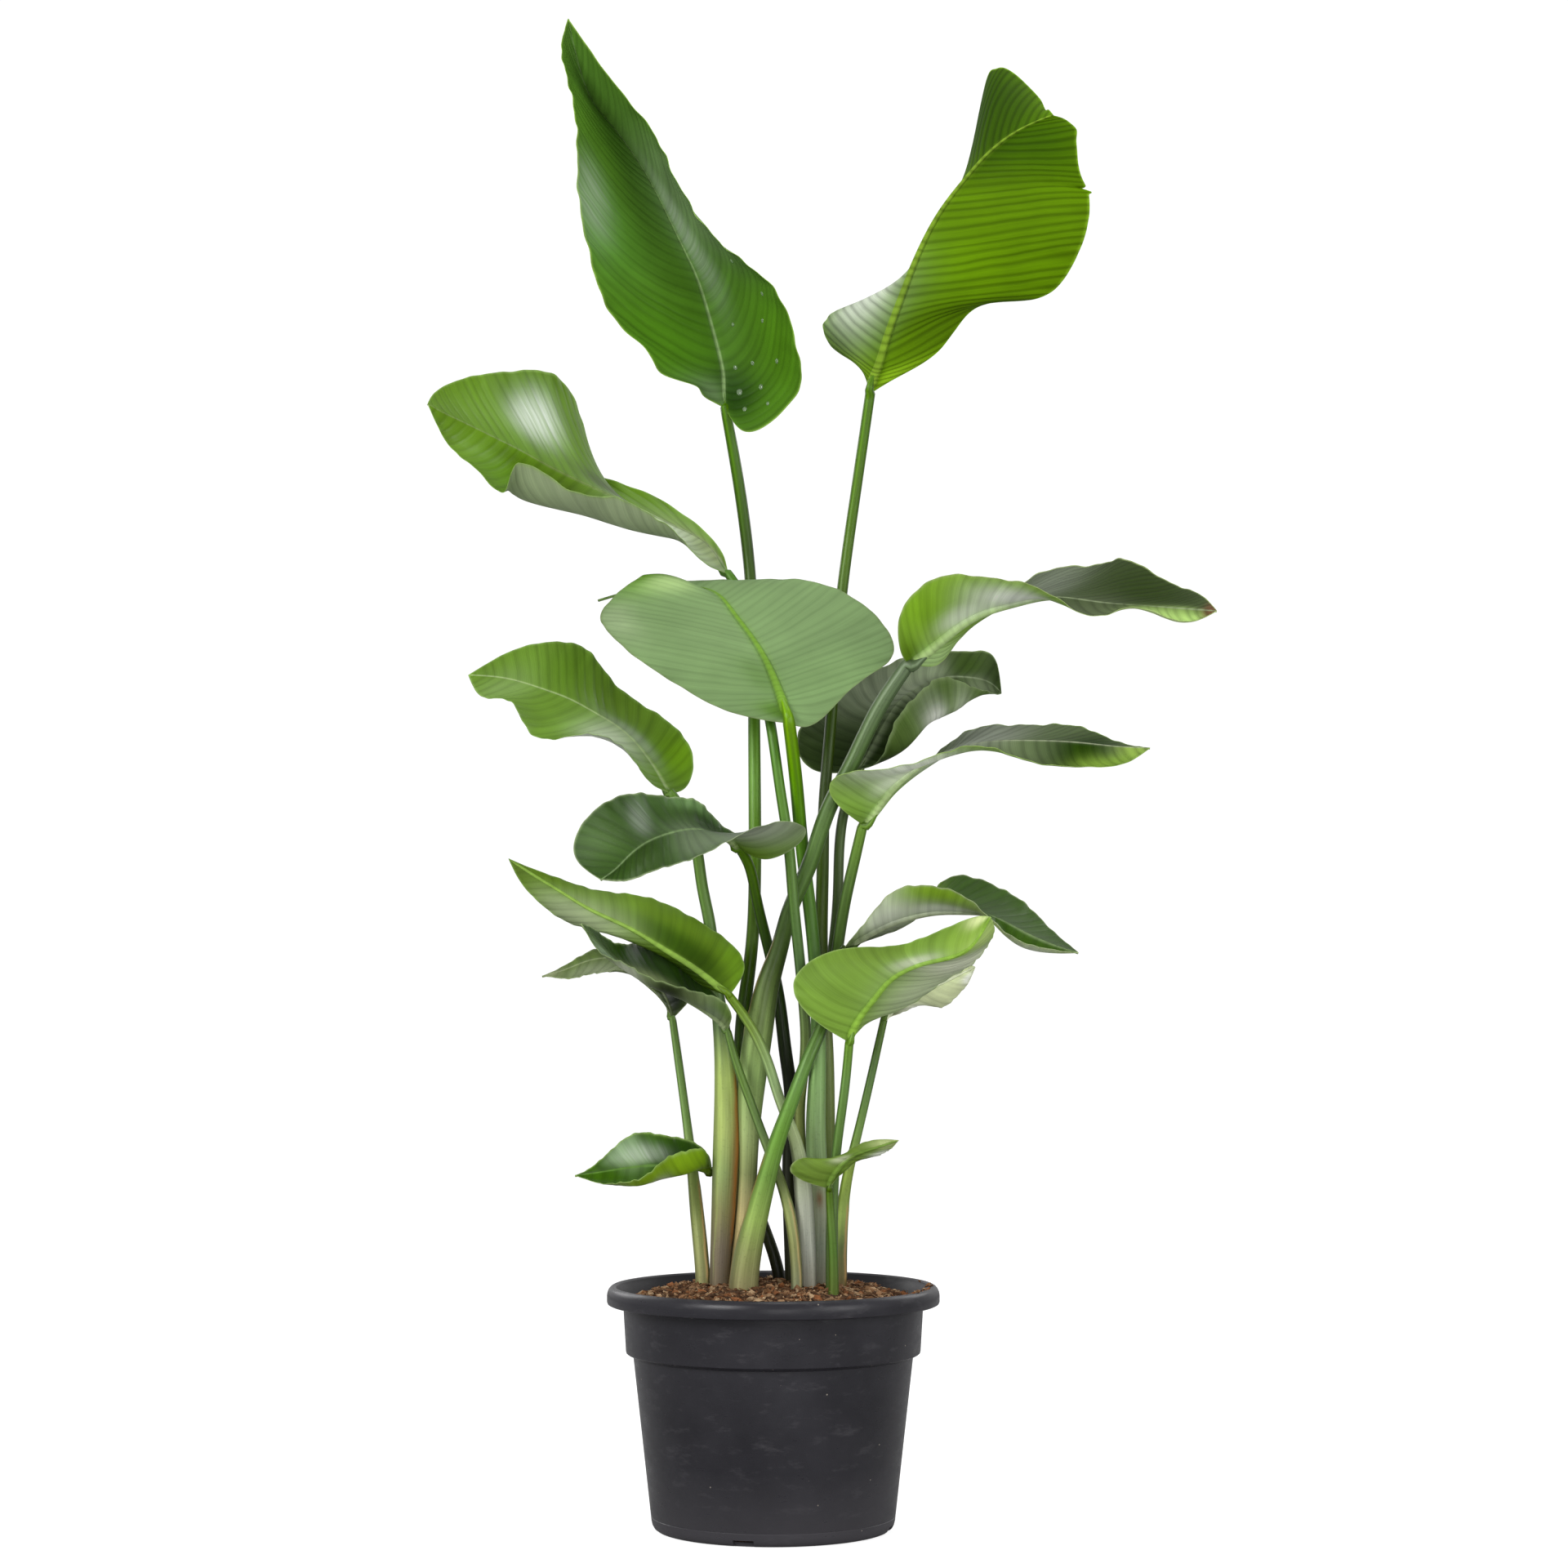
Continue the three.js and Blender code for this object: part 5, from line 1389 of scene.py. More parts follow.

# Patches without a colour are painted sheen; the patches marked below are painted reflections, painted
# highlights and painted shade.
LOOKS: dict[str, LeafLook] = {
    "leaf_tall_left": LeafLook(
        upper=(72, 112, 30), under=(98, 134, 70), rib_upper=(140, 166, 112), rib_under=(128, 158, 96),
        edge=(150, 184, 84),
        stalk=((230, (90, 105, 60)), (500, (64, 90, 30)), (620, (92, 124, 44)), (720, (120, 158, 84)),
               (820, (88, 120, 48)), (950, (50, 74, 16)), (1060, (76, 112, 34))),
        patches=(
            Patch(TOP, 0.22, -0.60, 0.12, 0.60, 0.8, (72, 120, 20)),
            Patch(TOP, 0.44, -0.75, 0.10, 0.40, 0.7, (86, 138, 44)),
            Patch(TOP, 0.07, -0.55, 0.06, 0.50, 0.8, (104, 128, 88)),
            Patch(TOP, 0.08, 0.30, 0.09, 0.50, 0.9, (26, 56, 6)),
            Patch(TOP, 0.27, 0.78, 0.17, 0.34, 0.9, (78, 126, 22)),
            Patch(TOP, 0.60, 0.60, 0.16, 0.60, 0.9, (116, 142, 96)),
            Patch(TOP, 0.90, 0.00, 0.16, 1.20, 0.6, (78, 116, 44)),
            # The two patches without a colour are painted sheen, a painted highlight.
            Patch(TOP, 0.50, -0.85, 0.08, 0.20, 0.30),
            Patch(TOP, 0.50, 0.14, 0.17, 0.14, 0.30),
        ),
        edge_marks=(EdgeMark(0.10, -1, 0.022, -5, 5), EdgeMark(0.15, -1, 0.02, 4, -4),
                    EdgeMark(0.20, -1, 0.02, -3, 4)),
        ripple=1.1, lean=(0.7, 1.3), upper_finish="leaf_upper_gloss", rows=190,
    ),
    "leaf_tall_right": LeafLook(
        upper=(70, 108, 24), under=(84, 120, 4), rib_upper=(120, 150, 80), rib_under=(112, 142, 40),
        edge=(128, 168, 40),
        stalk=((230, (96, 112, 64)), (430, (112, 126, 76)), (620, (74, 96, 38)), (720, (62, 80, 34)),
               (950, (84, 112, 46)), (1060, (80, 118, 24))),
        patches=(
            Patch(BACK, 0.06, -0.60, 0.07, 0.60, 0.9, (124, 164, 26)),
            Patch(BACK, 0.25, -0.50, 0.09, 0.80, 0.8, (68, 98, 2)),
            Patch(BACK, 0.45, -0.60, 0.09, 0.80, 0.6, (88, 126, 2)),
            # The two darker patches at the tip are painted shade, where the top leans away from the light.
            Patch(BACK, 0.86, -0.30, 0.14, 1.20, 0.9, (50, 82, 1)),
            Patch(BACK, 0.80, 0.60, 0.16, 0.80, 1.0, (40, 66, 1)),
            Patch(BACK, 0.12, 0.60, 0.09, 0.60, 0.8, (92, 122, 20)),
            # Painted reflection: the pale grey patch on the far half.
            Patch(BACK, 0.36, 0.56, 0.15, 0.44, 1.0, (172, 180, 164)),
            Patch(BACK, 0.44, 0.90, 0.08, 0.24, 0.8, (54, 88, 36)),
        ),
        edge_marks=(EdgeMark(0.80, 1, 0.012, 4), EdgeMark(0.70, 1, 0.008, -5),
                    EdgeMark(0.965, 1, 0.01, -5, 3), EdgeMark(0.70, -1, 0.008, 4),
                    EdgeMark(0.715, -1, 0.006, -5), EdgeMark(0.90, -1, 0.02, 3)),
        ripple=0.9, lean=(0.3, 0.5), under_finish="leaf_under_backlit", rows=220,
    ),
    "leaf_upper_left": LeafLook(
        upper=(88, 124, 22), under=(150, 164, 128), rib_upper=(104, 122, 66), rib_under=(150, 170, 120),
        edge=(140, 170, 90),
        stalk=((230, (124, 132, 90)), (400, (132, 142, 92)), (480, (108, 126, 80)), (540, (88, 114, 72)),
               (620, (98, 128, 68)), (720, (96, 134, 66)), (900, (88, 124, 58))),
        patches=(
            Patch(TOP, 0.30, -0.50, 0.16, 0.70, 0.9, (196, 206, 184)),
            Patch(TOP, 0.08, -0.50, 0.10, 0.70, 0.8, (148, 164, 124)),
            Patch(TOP, 0.72, -0.50, 0.08, 0.60, 0.8, (78, 116, 10)),
            Patch(TOP, 0.46, -0.85, 0.10, 0.30, 0.8, (120, 140, 90)),
            Patch(TOP, 0.58, -0.16, 0.16, 0.14, 0.8, (54, 72, 12)),
            Patch(TOP, 0.46, 0.18, 0.10, 0.14, 0.9, (66, 82, 44)),
            Patch(TOP, 0.10, 0.18, 0.16, 0.50, 0.8, (136, 148, 104)),
            Patch(TOP, 0.93, 0.00, 0.08, 1.20, 0.7, (80, 112, 22)),
            # Painted sheen, a painted highlight, on the far half.
            Patch(TOP, 0.64, 0.54, 0.07, 0.26, 0.85),
            Patch(BACK, 0.75, -0.60, 0.20, 0.60, 0.6, (126, 150, 92)),
        ),
        upper_finish="leaf_upper_gloss", rows=180,
    ),
    "leaf_center": LeafLook(
        upper=(96, 140, 42), under=(113, 140, 91), rib_upper=(140, 170, 90), rib_under=(108, 148, 44),
        edge=(112, 128, 84),
        stalk=((230, (126, 122, 106)), (270, (140, 148, 130)), (310, (160, 165, 142)), (350, (146, 168, 124)),
               (430, (138, 168, 114)), (560, (104, 140, 78)), (700, (100, 142, 58)), (770, (112, 152, 46))),
        patches=(
            Patch(BACK, 0.06, 0.35, 0.07, 0.40, 0.9, (68, 106, 6)),
            Patch(BACK, 0.24, 0.14, 0.08, 0.16, 0.7, (84, 118, 50)),
            Patch(BACK, 0.50, 0.90, 0.10, 0.16, 0.6, (150, 168, 128)),
            Patch(BACK, 0.70, 0.85, 0.10, 0.30, 0.95, (80, 124, 14)),
            Patch(BACK, 0.66, 0.55, 0.05, 0.30, 0.8, (166, 194, 128)),
            Patch(BACK, 0.20, 0.00, 0.14, 1.00, 0.4, (104, 134, 80)),
            Patch(BACK, 0.86, 0.70, 0.10, 0.40, 0.9, (128, 168, 40)),
            # Painted highlight: the near-white patch on the curled strip.
            Patch(BACK, 0.84, 0.52, 0.09, 0.12, 0.6, (206, 218, 170)),
        ),
        stalk_patches=(StalkPatch(316, -88, 8, 22, 0.8, (122, 84, 56)),),
        ripple=0.6, under_finish="leaf_under_matt", rows=180,
    ),
    "leaf_right_long": LeafLook(
        upper=(66, 78, 50), under=(138, 176, 66), rib_upper=(124, 136, 104), rib_under=(164, 190, 126),
        edge=(160, 178, 116),
        stalk=((230, (176, 160, 120)), (300, (190, 178, 136)), (340, (142, 150, 106)), (380, (166, 182, 130)),
               (430, (156, 180, 122)), (480, (140, 160, 106)), (540, (74, 92, 48)), (620, (94, 120, 70)),
               (720, (84, 108, 62)), (820, (98, 114, 86))),
        patches=(
            Patch(BACK, 0.05, 0.50, 0.08, 0.70, 0.9, (84, 118, 10)),
            Patch(BACK, 0.22, 0.80, 0.12, 0.45, 0.9, (114, 158, 26)),
            Patch(BACK, 0.36, 0.80, 0.12, 0.35, 0.7, (124, 164, 44)),
            # Painted reflections: the two near-white patches by the midrib.
            Patch(BACK, 0.46, 0.34, 0.12, 0.44, 1.0, (240, 246, 232)),
            Patch(BACK, 0.30, 0.18, 0.10, 0.22, 0.9, (214, 226, 200)),
            Patch(BACK, 0.84, 0.60, 0.14, 0.90, 1.0, (196, 218, 150)),
            Patch(BACK, 0.08, -0.50, 0.12, 0.60, 0.9, (168, 198, 134)),
            Patch(TOP, 0.45, -0.60, 0.10, 0.60, 0.9, (102, 110, 94)),
            Patch(TOP, 0.76, -0.40, 0.22, 1.00, 1.0, (34, 50, 6)),
            Patch(TOP, 0.66, 0.40, 0.08, 0.60, 0.8, (72, 82, 56)),
            Patch(TOP, 0.87, 0.50, 0.12, 0.50, 1.0, (148, 178, 98)),
            Patch(TOP, 0.98, 0.00, 0.03, 1.40, 1.0, (92, 66, 44)),
        ),
        sheath=(SheathEdge(470, 565, -172, -150, (156, 134, 66)),),
        lean=(0.8, 0.8), upper_finish="leaf_upper_dull", rows=180,
    ),
    "leaf_right_dark": LeafLook(
        upper=(60, 76, 40), under=(112, 138, 74), rib_upper=(130, 142, 112), rib_under=(120, 140, 90),
        edge=(140, 160, 110),
        stalk=((230, (92, 110, 66)), (620, (80, 98, 58)), (730, (72, 90, 50))),
        patches=(
            Patch(TOP, 0.14, -0.30, 0.14, 1.00, 0.9, (28, 44, 8)),
            Patch(TOP, 0.54, -0.60, 0.16, 1.00, 1.0, (124, 134, 110)),
            Patch(TOP, 0.66, -0.70, 0.07, 0.50, 0.9, (146, 160, 128)),
            Patch(TOP, 0.80, -0.50, 0.06, 0.60, 0.8, (48, 70, 14)),
            Patch(TOP, 0.86, 0.40, 0.09, 0.50, 0.9, (112, 124, 96)),
            # Painted reflections: the two near-white patches on the underside.
            Patch(BACK, 0.44, 0.50, 0.09, 0.50, 1.0, (255, 255, 250)),
            Patch(BACK, 0.66, 0.60, 0.08, 0.40, 0.8, (206, 216, 192)),
            Patch(BACK, 0.45, 0.95, 0.25, 0.20, 0.8, (78, 104, 40)),
            Patch(BACK, 0.10, 0.50, 0.14, 1.00, 1.0, (44, 64, 4)),
        ),
        upper_finish="leaf_upper_dull",
    ),
    "leaf_right_mid": LeafLook(
        upper=(98, 112, 78), under=(140, 174, 88), rib_upper=(158, 166, 138), rib_under=(172, 196, 132),
        edge=(150, 180, 90),
        stalk=((230, (96, 118, 70)), (450, (92, 116, 66)), (620, (104, 130, 76)), (675, (110, 140, 70))),
        patches=(
            Patch(BACK, 0.05, -0.50, 0.07, 0.70, 0.9, (182, 212, 142)),
            Patch(BACK, 0.08, 0.60, 0.09, 0.70, 0.8, (110, 148, 46)),
            Patch(BACK, 0.22, 0.80, 0.08, 0.40, 0.7, (110, 144, 48)),
            # Painted reflections: the two near-white patches toward the midrib.
            Patch(BACK, 0.36, 0.50, 0.12, 0.90, 1.0, (240, 246, 230)),
            Patch(BACK, 0.26, 0.16, 0.08, 0.22, 0.9, (230, 242, 212)),
            Patch(BACK, 0.82, 0.60, 0.14, 0.70, 0.8, (188, 200, 160)),
            Patch(TOP, 0.46, -0.50, 0.12, 0.90, 0.9, (152, 158, 146)),
            Patch(TOP, 0.66, -0.50, 0.06, 0.90, 0.7, (84, 100, 66)),
            Patch(TOP, 0.80, 0.00, 0.10, 1.40, 1.0, (30, 54, 2)),
            Patch(TOP, 0.95, 0.20, 0.05, 1.00, 0.8, (138, 168, 70)),
            Patch(TOP, 0.86, 0.75, 0.10, 0.40, 0.9, (134, 168, 64)),
        ),
        upper_finish="leaf_upper_dull", rows=170,
    ),
    "leaf_left_mid": LeafLook(
        upper=(94, 128, 40), under=(124, 146, 98), rib_upper=(158, 178, 122), rib_under=(140, 164, 110),
        edge=(140, 170, 96),
        stalk=((230, (124, 114, 94)), (270, (134, 128, 98)), (300, (142, 141, 100)), (340, (150, 166, 114)),
               (380, (172, 186, 122)), (430, (176, 194, 124)), (480, (112, 134, 92)), (540, (108, 136, 84)),
               (620, (110, 140, 78)), (700, (104, 134, 70))),
        patches=(
            Patch(BACK, 0.36, -0.85, 0.20, 0.40, 0.9, (214, 222, 204)),
            Patch(TOP, 0.20, 0.70, 0.10, 0.50, 0.8, (98, 138, 14)),
            Patch(TOP, 0.40, 0.70, 0.14, 0.40, 0.6, (92, 122, 36)),
            # Painted sheen: the pale grey patch on the left half.
            Patch(TOP, 0.36, -0.36, 0.14, 0.42, 0.8, (166, 178, 152)),
            Patch(TOP, 0.34, 0.18, 0.14, 0.18, 0.8, (140, 158, 124)),
            Patch(TOP, 0.82, -0.40, 0.10, 0.80, 0.6, (118, 144, 84)),
            Patch(TOP, 0.66, 0.60, 0.08, 0.50, 0.6, (82, 118, 24)),
        ),
        stalk_patches=(StalkPatch(352, -38, 62, 24, 0.75, (184, 138, 100)),
                       StalkPatch(262, -80, 30, 70, 0.5, (132, 118, 116))),
        sheath=(SheathEdge(270, 440, -30, -36, (176, 120, 84)),
                SheathEdge(240, 450, -128, -120, (164, 178, 112), 0.6, 6, 0.4)),
        rows=160,
    ),
    "leaf_left_glossy": LeafLook(
        upper=(46, 72, 22), under=(108, 132, 76), rib_upper=(112, 136, 88), rib_under=(140, 158, 106),
        edge=(150, 166, 124),
        stalk=((230, (32, 34, 14)), (430, (20, 25, 8)), (480, (36, 50, 18)), (560, (60, 86, 34)),
               (620, (80, 112, 40)), (653, (86, 118, 42))),
        patches=(
            Patch(TOP, 0.26, 0.40, 0.12, 0.60, 0.8, (32, 54, 16)),
            Patch(TOP, 0.34, 0.95, 0.16, 0.20, 0.7, (106, 138, 86)),
            Patch(TOP, 0.40, -0.50, 0.12, 0.80, 0.8, (96, 110, 84)),
            Patch(TOP, 0.68, -0.50, 0.10, 0.80, 0.6, (44, 66, 20)),
            Patch(TOP, 0.80, 0.60, 0.10, 0.40, 0.4, (78, 106, 52)),
            Patch(BACK, 0.06, -0.50, 0.07, 0.80, 0.9, (92, 125, 20)),
            Patch(BACK, 0.28, -0.40, 0.12, 0.80, 0.9, (172, 178, 164)),
            # Painted sheen, a painted highlight.
            Patch(TOP, 0.62, 0.55, 0.05, 0.35, 0.22),
        ),
        upper_finish="leaf_upper_gloss", rows=160,
    ),
    "leaf_left_low": LeafLook(
        upper=(56, 84, 30), under=(92, 124, 26), rib_upper=(110, 140, 80), rib_under=(140, 176, 74),
        edge=(140, 172, 90),
        stalk=((230, (160, 156, 142)), (270, (184, 187, 175)), (310, (180, 184, 168)), (380, (180, 194, 148)),
               (430, (150, 172, 126)), (480, (120, 142, 78)), (511, (112, 140, 62))),
        patches=(
            Patch(BACK, 0.15, -0.80, 0.14, 0.30, 0.8, (108, 148, 30)),
            Patch(BACK, 0.34, -0.22, 0.22, 0.26, 0.9, (50, 80, 6)),
            Patch(BACK, 0.70, -0.50, 0.12, 0.70, 0.7, (106, 136, 56)),
            # Painted shade: the dark patch where the folded leaf lies over this half.
            Patch(BACK, 0.20, 0.50, 0.20, 0.80, 0.9, (28, 50, 4)),
            Patch(BACK, 0.66, 0.50, 0.18, 0.80, 0.9, (148, 162, 124)),
            Patch(BACK, 0.94, 0.30, 0.05, 1.00, 0.8, (86, 110, 38)),
        ),
    ),
    "leaf_left_folded": LeafLook(
        upper=(36, 64, 6), under=(122, 140, 92), rib_upper=(90, 116, 60), rib_under=(140, 156, 112),
        edge=(150, 172, 116),
        stalk=((230, (130, 134, 108)), (270, (140, 144, 100)), (300, (148, 156, 106)), (380, (104, 126, 80)),
               (430, (102, 128, 70)), (480, (96, 122, 68))),
        patches=(
            Patch(BACK, 0.20, -0.40, 0.08, 0.60, 0.7, (116, 134, 104)),
            Patch(BACK, 0.45, -0.70, 0.09, 0.60, 1.0, (34, 46, 12)),
            Patch(BACK, 0.66, -0.60, 0.08, 0.60, 0.9, (192, 200, 176)),
            Patch(BACK, 0.14, -0.85, 0.10, 0.30, 0.7, (82, 114, 28)),
            Patch(TOP, 0.55, 0.20, 0.18, 0.25, 0.8, (136, 150, 100)),
            Patch(TOP, 0.86, -0.40, 0.10, 0.60, 0.8, (136, 158, 124)),
            Patch(TOP, 0.94, 0.00, 0.06, 1.00, 0.7, (76, 106, 40)),
        ),
        sheath=(SheathEdge(232, 318, -50, -58, (190, 168, 124)),),
        rows=130,
    ),
    "leaf_left_lowest": LeafLook(
        upper=(92, 112, 56), under=(116, 132, 86), rib_upper=(150, 162, 120), rib_under=(140, 156, 108),
        edge=(160, 174, 130),
        stalk=((230, (152, 150, 110)), (300, (166, 178, 118)), (340, (150, 166, 108)), (383, (122, 149, 92)),
               (430, (118, 146, 90)), (487, (104, 130, 74))),
        patches=(
            Patch(TOP, 0.18, 0.40, 0.14, 0.70, 1.0, (20, 34, 8)),
            Patch(TOP, 0.60, -0.60, 0.25, 0.60, 0.8, (142, 152, 122)),
            Patch(TOP, 0.95, 0.00, 0.07, 1.00, 0.8, (144, 152, 116)),
            Patch(TOP, 0.66, 0.50, 0.10, 0.60, 0.6, (87, 110, 42)),
        ),
        sheath=(SheathEdge(234, 330, -52, -40, (214, 180, 136)),),
        rows=120,
    ),
    "leaf_base_left": LeafLook(
        upper=(54, 90, 8), under=(124, 160, 26), rib_upper=(100, 140, 60), rib_under=(120, 150, 60),
        edge=(150, 180, 100),
        stalk=((230, (14, 18, 5)), (278, (44, 50, 12)), (317, (58, 74, 22)), (340, (76, 96, 28))),
        patches=(
            Patch(TOP, 0.32, 0.50, 0.12, 0.70, 0.9, (30, 58, 2)),
            # Painted sheen: the two pale patches on the upper face.
            Patch(TOP, 0.62, 0.30, 0.10, 0.40, 0.8, (134, 164, 112)),
            Patch(TOP, 0.68, 0.75, 0.10, 0.35, 0.7, (158, 184, 144)),
            Patch(BACK, 0.46, -0.36, 0.08, 0.30, 0.9, (196, 202, 188)),
            Patch(BACK, 0.80, -0.50, 0.14, 0.80, 0.7, (128, 144, 108)),
            # Painted sheen, a painted highlight.
            Patch(TOP, 0.55, 0.45, 0.14, 0.30, 0.45),
        ),
        upper_finish="leaf_upper_gloss", rows=120,
    ),
    "leaf_right_low": LeafLook(
        upper=(88, 122, 40), under=(112, 146, 54), rib_upper=(140, 166, 90), rib_under=(130, 170, 60),
        edge=(160, 188, 110),
        stalk=((230, (96, 116, 72)), (380, (98, 126, 72)), (430, (108, 138, 82)), (467, (108, 142, 66))),
        patches=(
            Patch(BACK, 0.40, -0.70, 0.24, 0.60, 0.8, (180, 192, 158)),
            Patch(BACK, 0.66, -0.60, 0.14, 0.70, 0.9, (206, 212, 186)),
            # Painted sheen by the midrib.
            Patch(BACK, 0.62, 0.14, 0.12, 0.14, 0.8, (176, 184, 158)),
            Patch(BACK, 0.54, 0.70, 0.14, 0.40, 0.7, (98, 124, 46)),
            Patch(BACK, 0.88, 0.30, 0.10, 0.60, 0.7, (136, 172, 60)),
            # Painted highlight near the margin by the tip.
            Patch(BACK, 0.93, 0.85, 0.06, 0.30, 0.9, (214, 226, 160)),
            Patch(BACK, 0.90, -0.50, 0.09, 0.60, 0.8, (176, 200, 120)),
        ),
    ),
    "leaf_right_low_back": LeafLook(
        upper=(130, 154, 84), under=(206, 216, 168), rib_upper=(150, 170, 110), rib_under=(216, 224, 190),
        edge=(196, 206, 168),
        stalk=((230, (110, 96, 66)), (270, (92, 104, 62)), (300, (146, 166, 100)), (340, (136, 156, 84)),
               (380, (118, 146, 86)), (430, (96, 122, 74)), (488, (92, 116, 58))),
        patches=(
            Patch(BACK, 0.12, -0.30, 0.14, 0.50, 0.9, (98, 104, 74)),
            # Painted reflections: the two near-white patches.
            Patch(BACK, 0.32, -0.80, 0.12, 0.50, 0.8, (236, 242, 226)),
            Patch(BACK, 0.88, -0.80, 0.08, 0.40, 0.8, (244, 246, 238)),
        ),
        sheath=(SheathEdge(236, 312, -40, -50, (186, 154, 116)),),
        rows=110,
    ),
    "leaf_right_arching": LeafLook(
        upper=(54, 84, 18), under=(142, 164, 104), rib_upper=(120, 140, 96), rib_under=(160, 170, 136),
        edge=(170, 184, 138),
        stalk=((230, (142, 136, 104)), (270, (146, 154, 106)), (300, (150, 172, 106)), (340, (116, 146, 82)),
               (380, (110, 146, 76)), (430, (106, 140, 78)), (480, (78, 102, 54)), (555, (58, 78, 28))),
        patches=(
            Patch(BACK, 0.12, -0.50, 0.18, 0.80, 0.9, (58, 80, 10)),
            # Painted sheen: the grey-white patch on the near half.
            Patch(BACK, 0.24, 0.50, 0.12, 0.80, 0.9, (222, 228, 210)),
            Patch(BACK, 0.46, 0.85, 0.16, 0.35, 0.9, (128, 168, 26)),
            # Painted sheen by the midrib.
            Patch(BACK, 0.44, 0.20, 0.12, 0.22, 0.9, (226, 232, 216)),
            Patch(BACK, 0.66, 0.60, 0.08, 0.60, 0.7, (176, 198, 120)),
            Patch(BACK, 0.82, 0.60, 0.10, 0.60, 0.8, (186, 194, 172)),
            Patch(TOP, 0.36, -0.90, 0.06, 0.30, 0.8, (104, 140, 24)),
        ),
        sheath=(SheathEdge(228, 360, 176, 206, (158, 122, 84)),),
    ),
    "leaf_base_right": LeafLook(
        upper=(110, 130, 72), under=(98, 124, 46), rib_upper=(130, 150, 90), rib_under=(100, 130, 50),
        edge=(150, 165, 110),
        stalk=((230, (92, 108, 58)), (270, (86, 114, 56)), (300, (90, 116, 58)), (330, (72, 98, 26))),
        patches=(
            Patch(BACK, 0.12, -0.20, 0.16, 0.30, 0.8, (54, 80, 6)),
            Patch(BACK, 0.92, 0.00, 0.14, 1.00, 0.8, (172, 182, 128)),
            # Painted reflection: the near-white patch.
            Patch(BACK, 0.66, -0.85, 0.12, 0.40, 0.9, (226, 232, 216)),
            Patch(BACK, 0.46, 0.16, 0.08, 0.20, 0.8, (176, 184, 150)),
            Patch(TOP, 0.36, -0.60, 0.12, 0.60, 0.7, (124, 130, 94)),
        ),
        rows=110,
    ),
}


@dataclass(frozen=True)
class Drop:
    """A drop of water on a blade's upper face, with its radius in millimetres."""

    s: float
    v: float
    radius: float


class WaterDrops:
    """The drops on one leaf, each a low dome."""

    RINGS = 5
    SIDES = 14
    HEIGHT = 0.42
    STRETCH = 1.15
    SUNK = 0.15
    SHARPEST_SMOOTH = 50.0

    def __init__(self, leaf: Leaf, drops: tuple[Drop, ...]) -> None:
        """Keeps the leaf that the drops lie on."""
        self.leaf = leaf
        self.drops = drops

    def build(self, material: bpy.types.Material) -> bpy.types.Object:
        """Models all the drops as one piece.

        Args:
            material: The finish of water.

        Returns:
            The finished piece.
        """
        points: list[Vector] = []
        faces: list[list[int]] = []
        for drop in self.drops:
            s, v = np.array([drop.s]), np.array([drop.v])
            normal = Vector(self.leaf.surface.normals(s, v)[0])
            lift = self.leaf.THICKNESS / 2 - self.SUNK
            spot = Vector(self.leaf.surface.points(s, v)[0]) + normal * lift
            side = normal.orthogonal().normalized()
            other = normal.cross(side)
            first = len(points)
            for ring in range(self.RINGS):
                climb = ring / self.RINGS * math.pi / 2
                for k in range(self.SIDES):
                    turn = 2 * math.pi * k / self.SIDES
                    reach = drop.radius * math.cos(climb)
                    out = side * math.cos(turn) * reach + other * math.sin(turn) * reach * self.STRETCH
                    up = normal * self.HEIGHT * drop.radius * math.sin(climb)
                    points.append((spot + out + up) * MM)
            points.append((spot + normal * self.HEIGHT * drop.radius) * MM)
            faces.extend(grid_faces(first, self.RINGS, self.SIDES, False, around=True).tolist())
            last = first + (self.RINGS - 1) * self.SIDES
            for k in range(self.SIDES):
                faces.append([last + k, last + (k + 1) % self.SIDES, len(points) - 1])
            faces.append([first + k for k in range(self.SIDES - 1, -1, -1)])
        piece = make_piece("water_drops", points, faces, material)
        smooth(piece, self.SHARPEST_SMOOTH)
        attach(piece, BODY)
        return piece


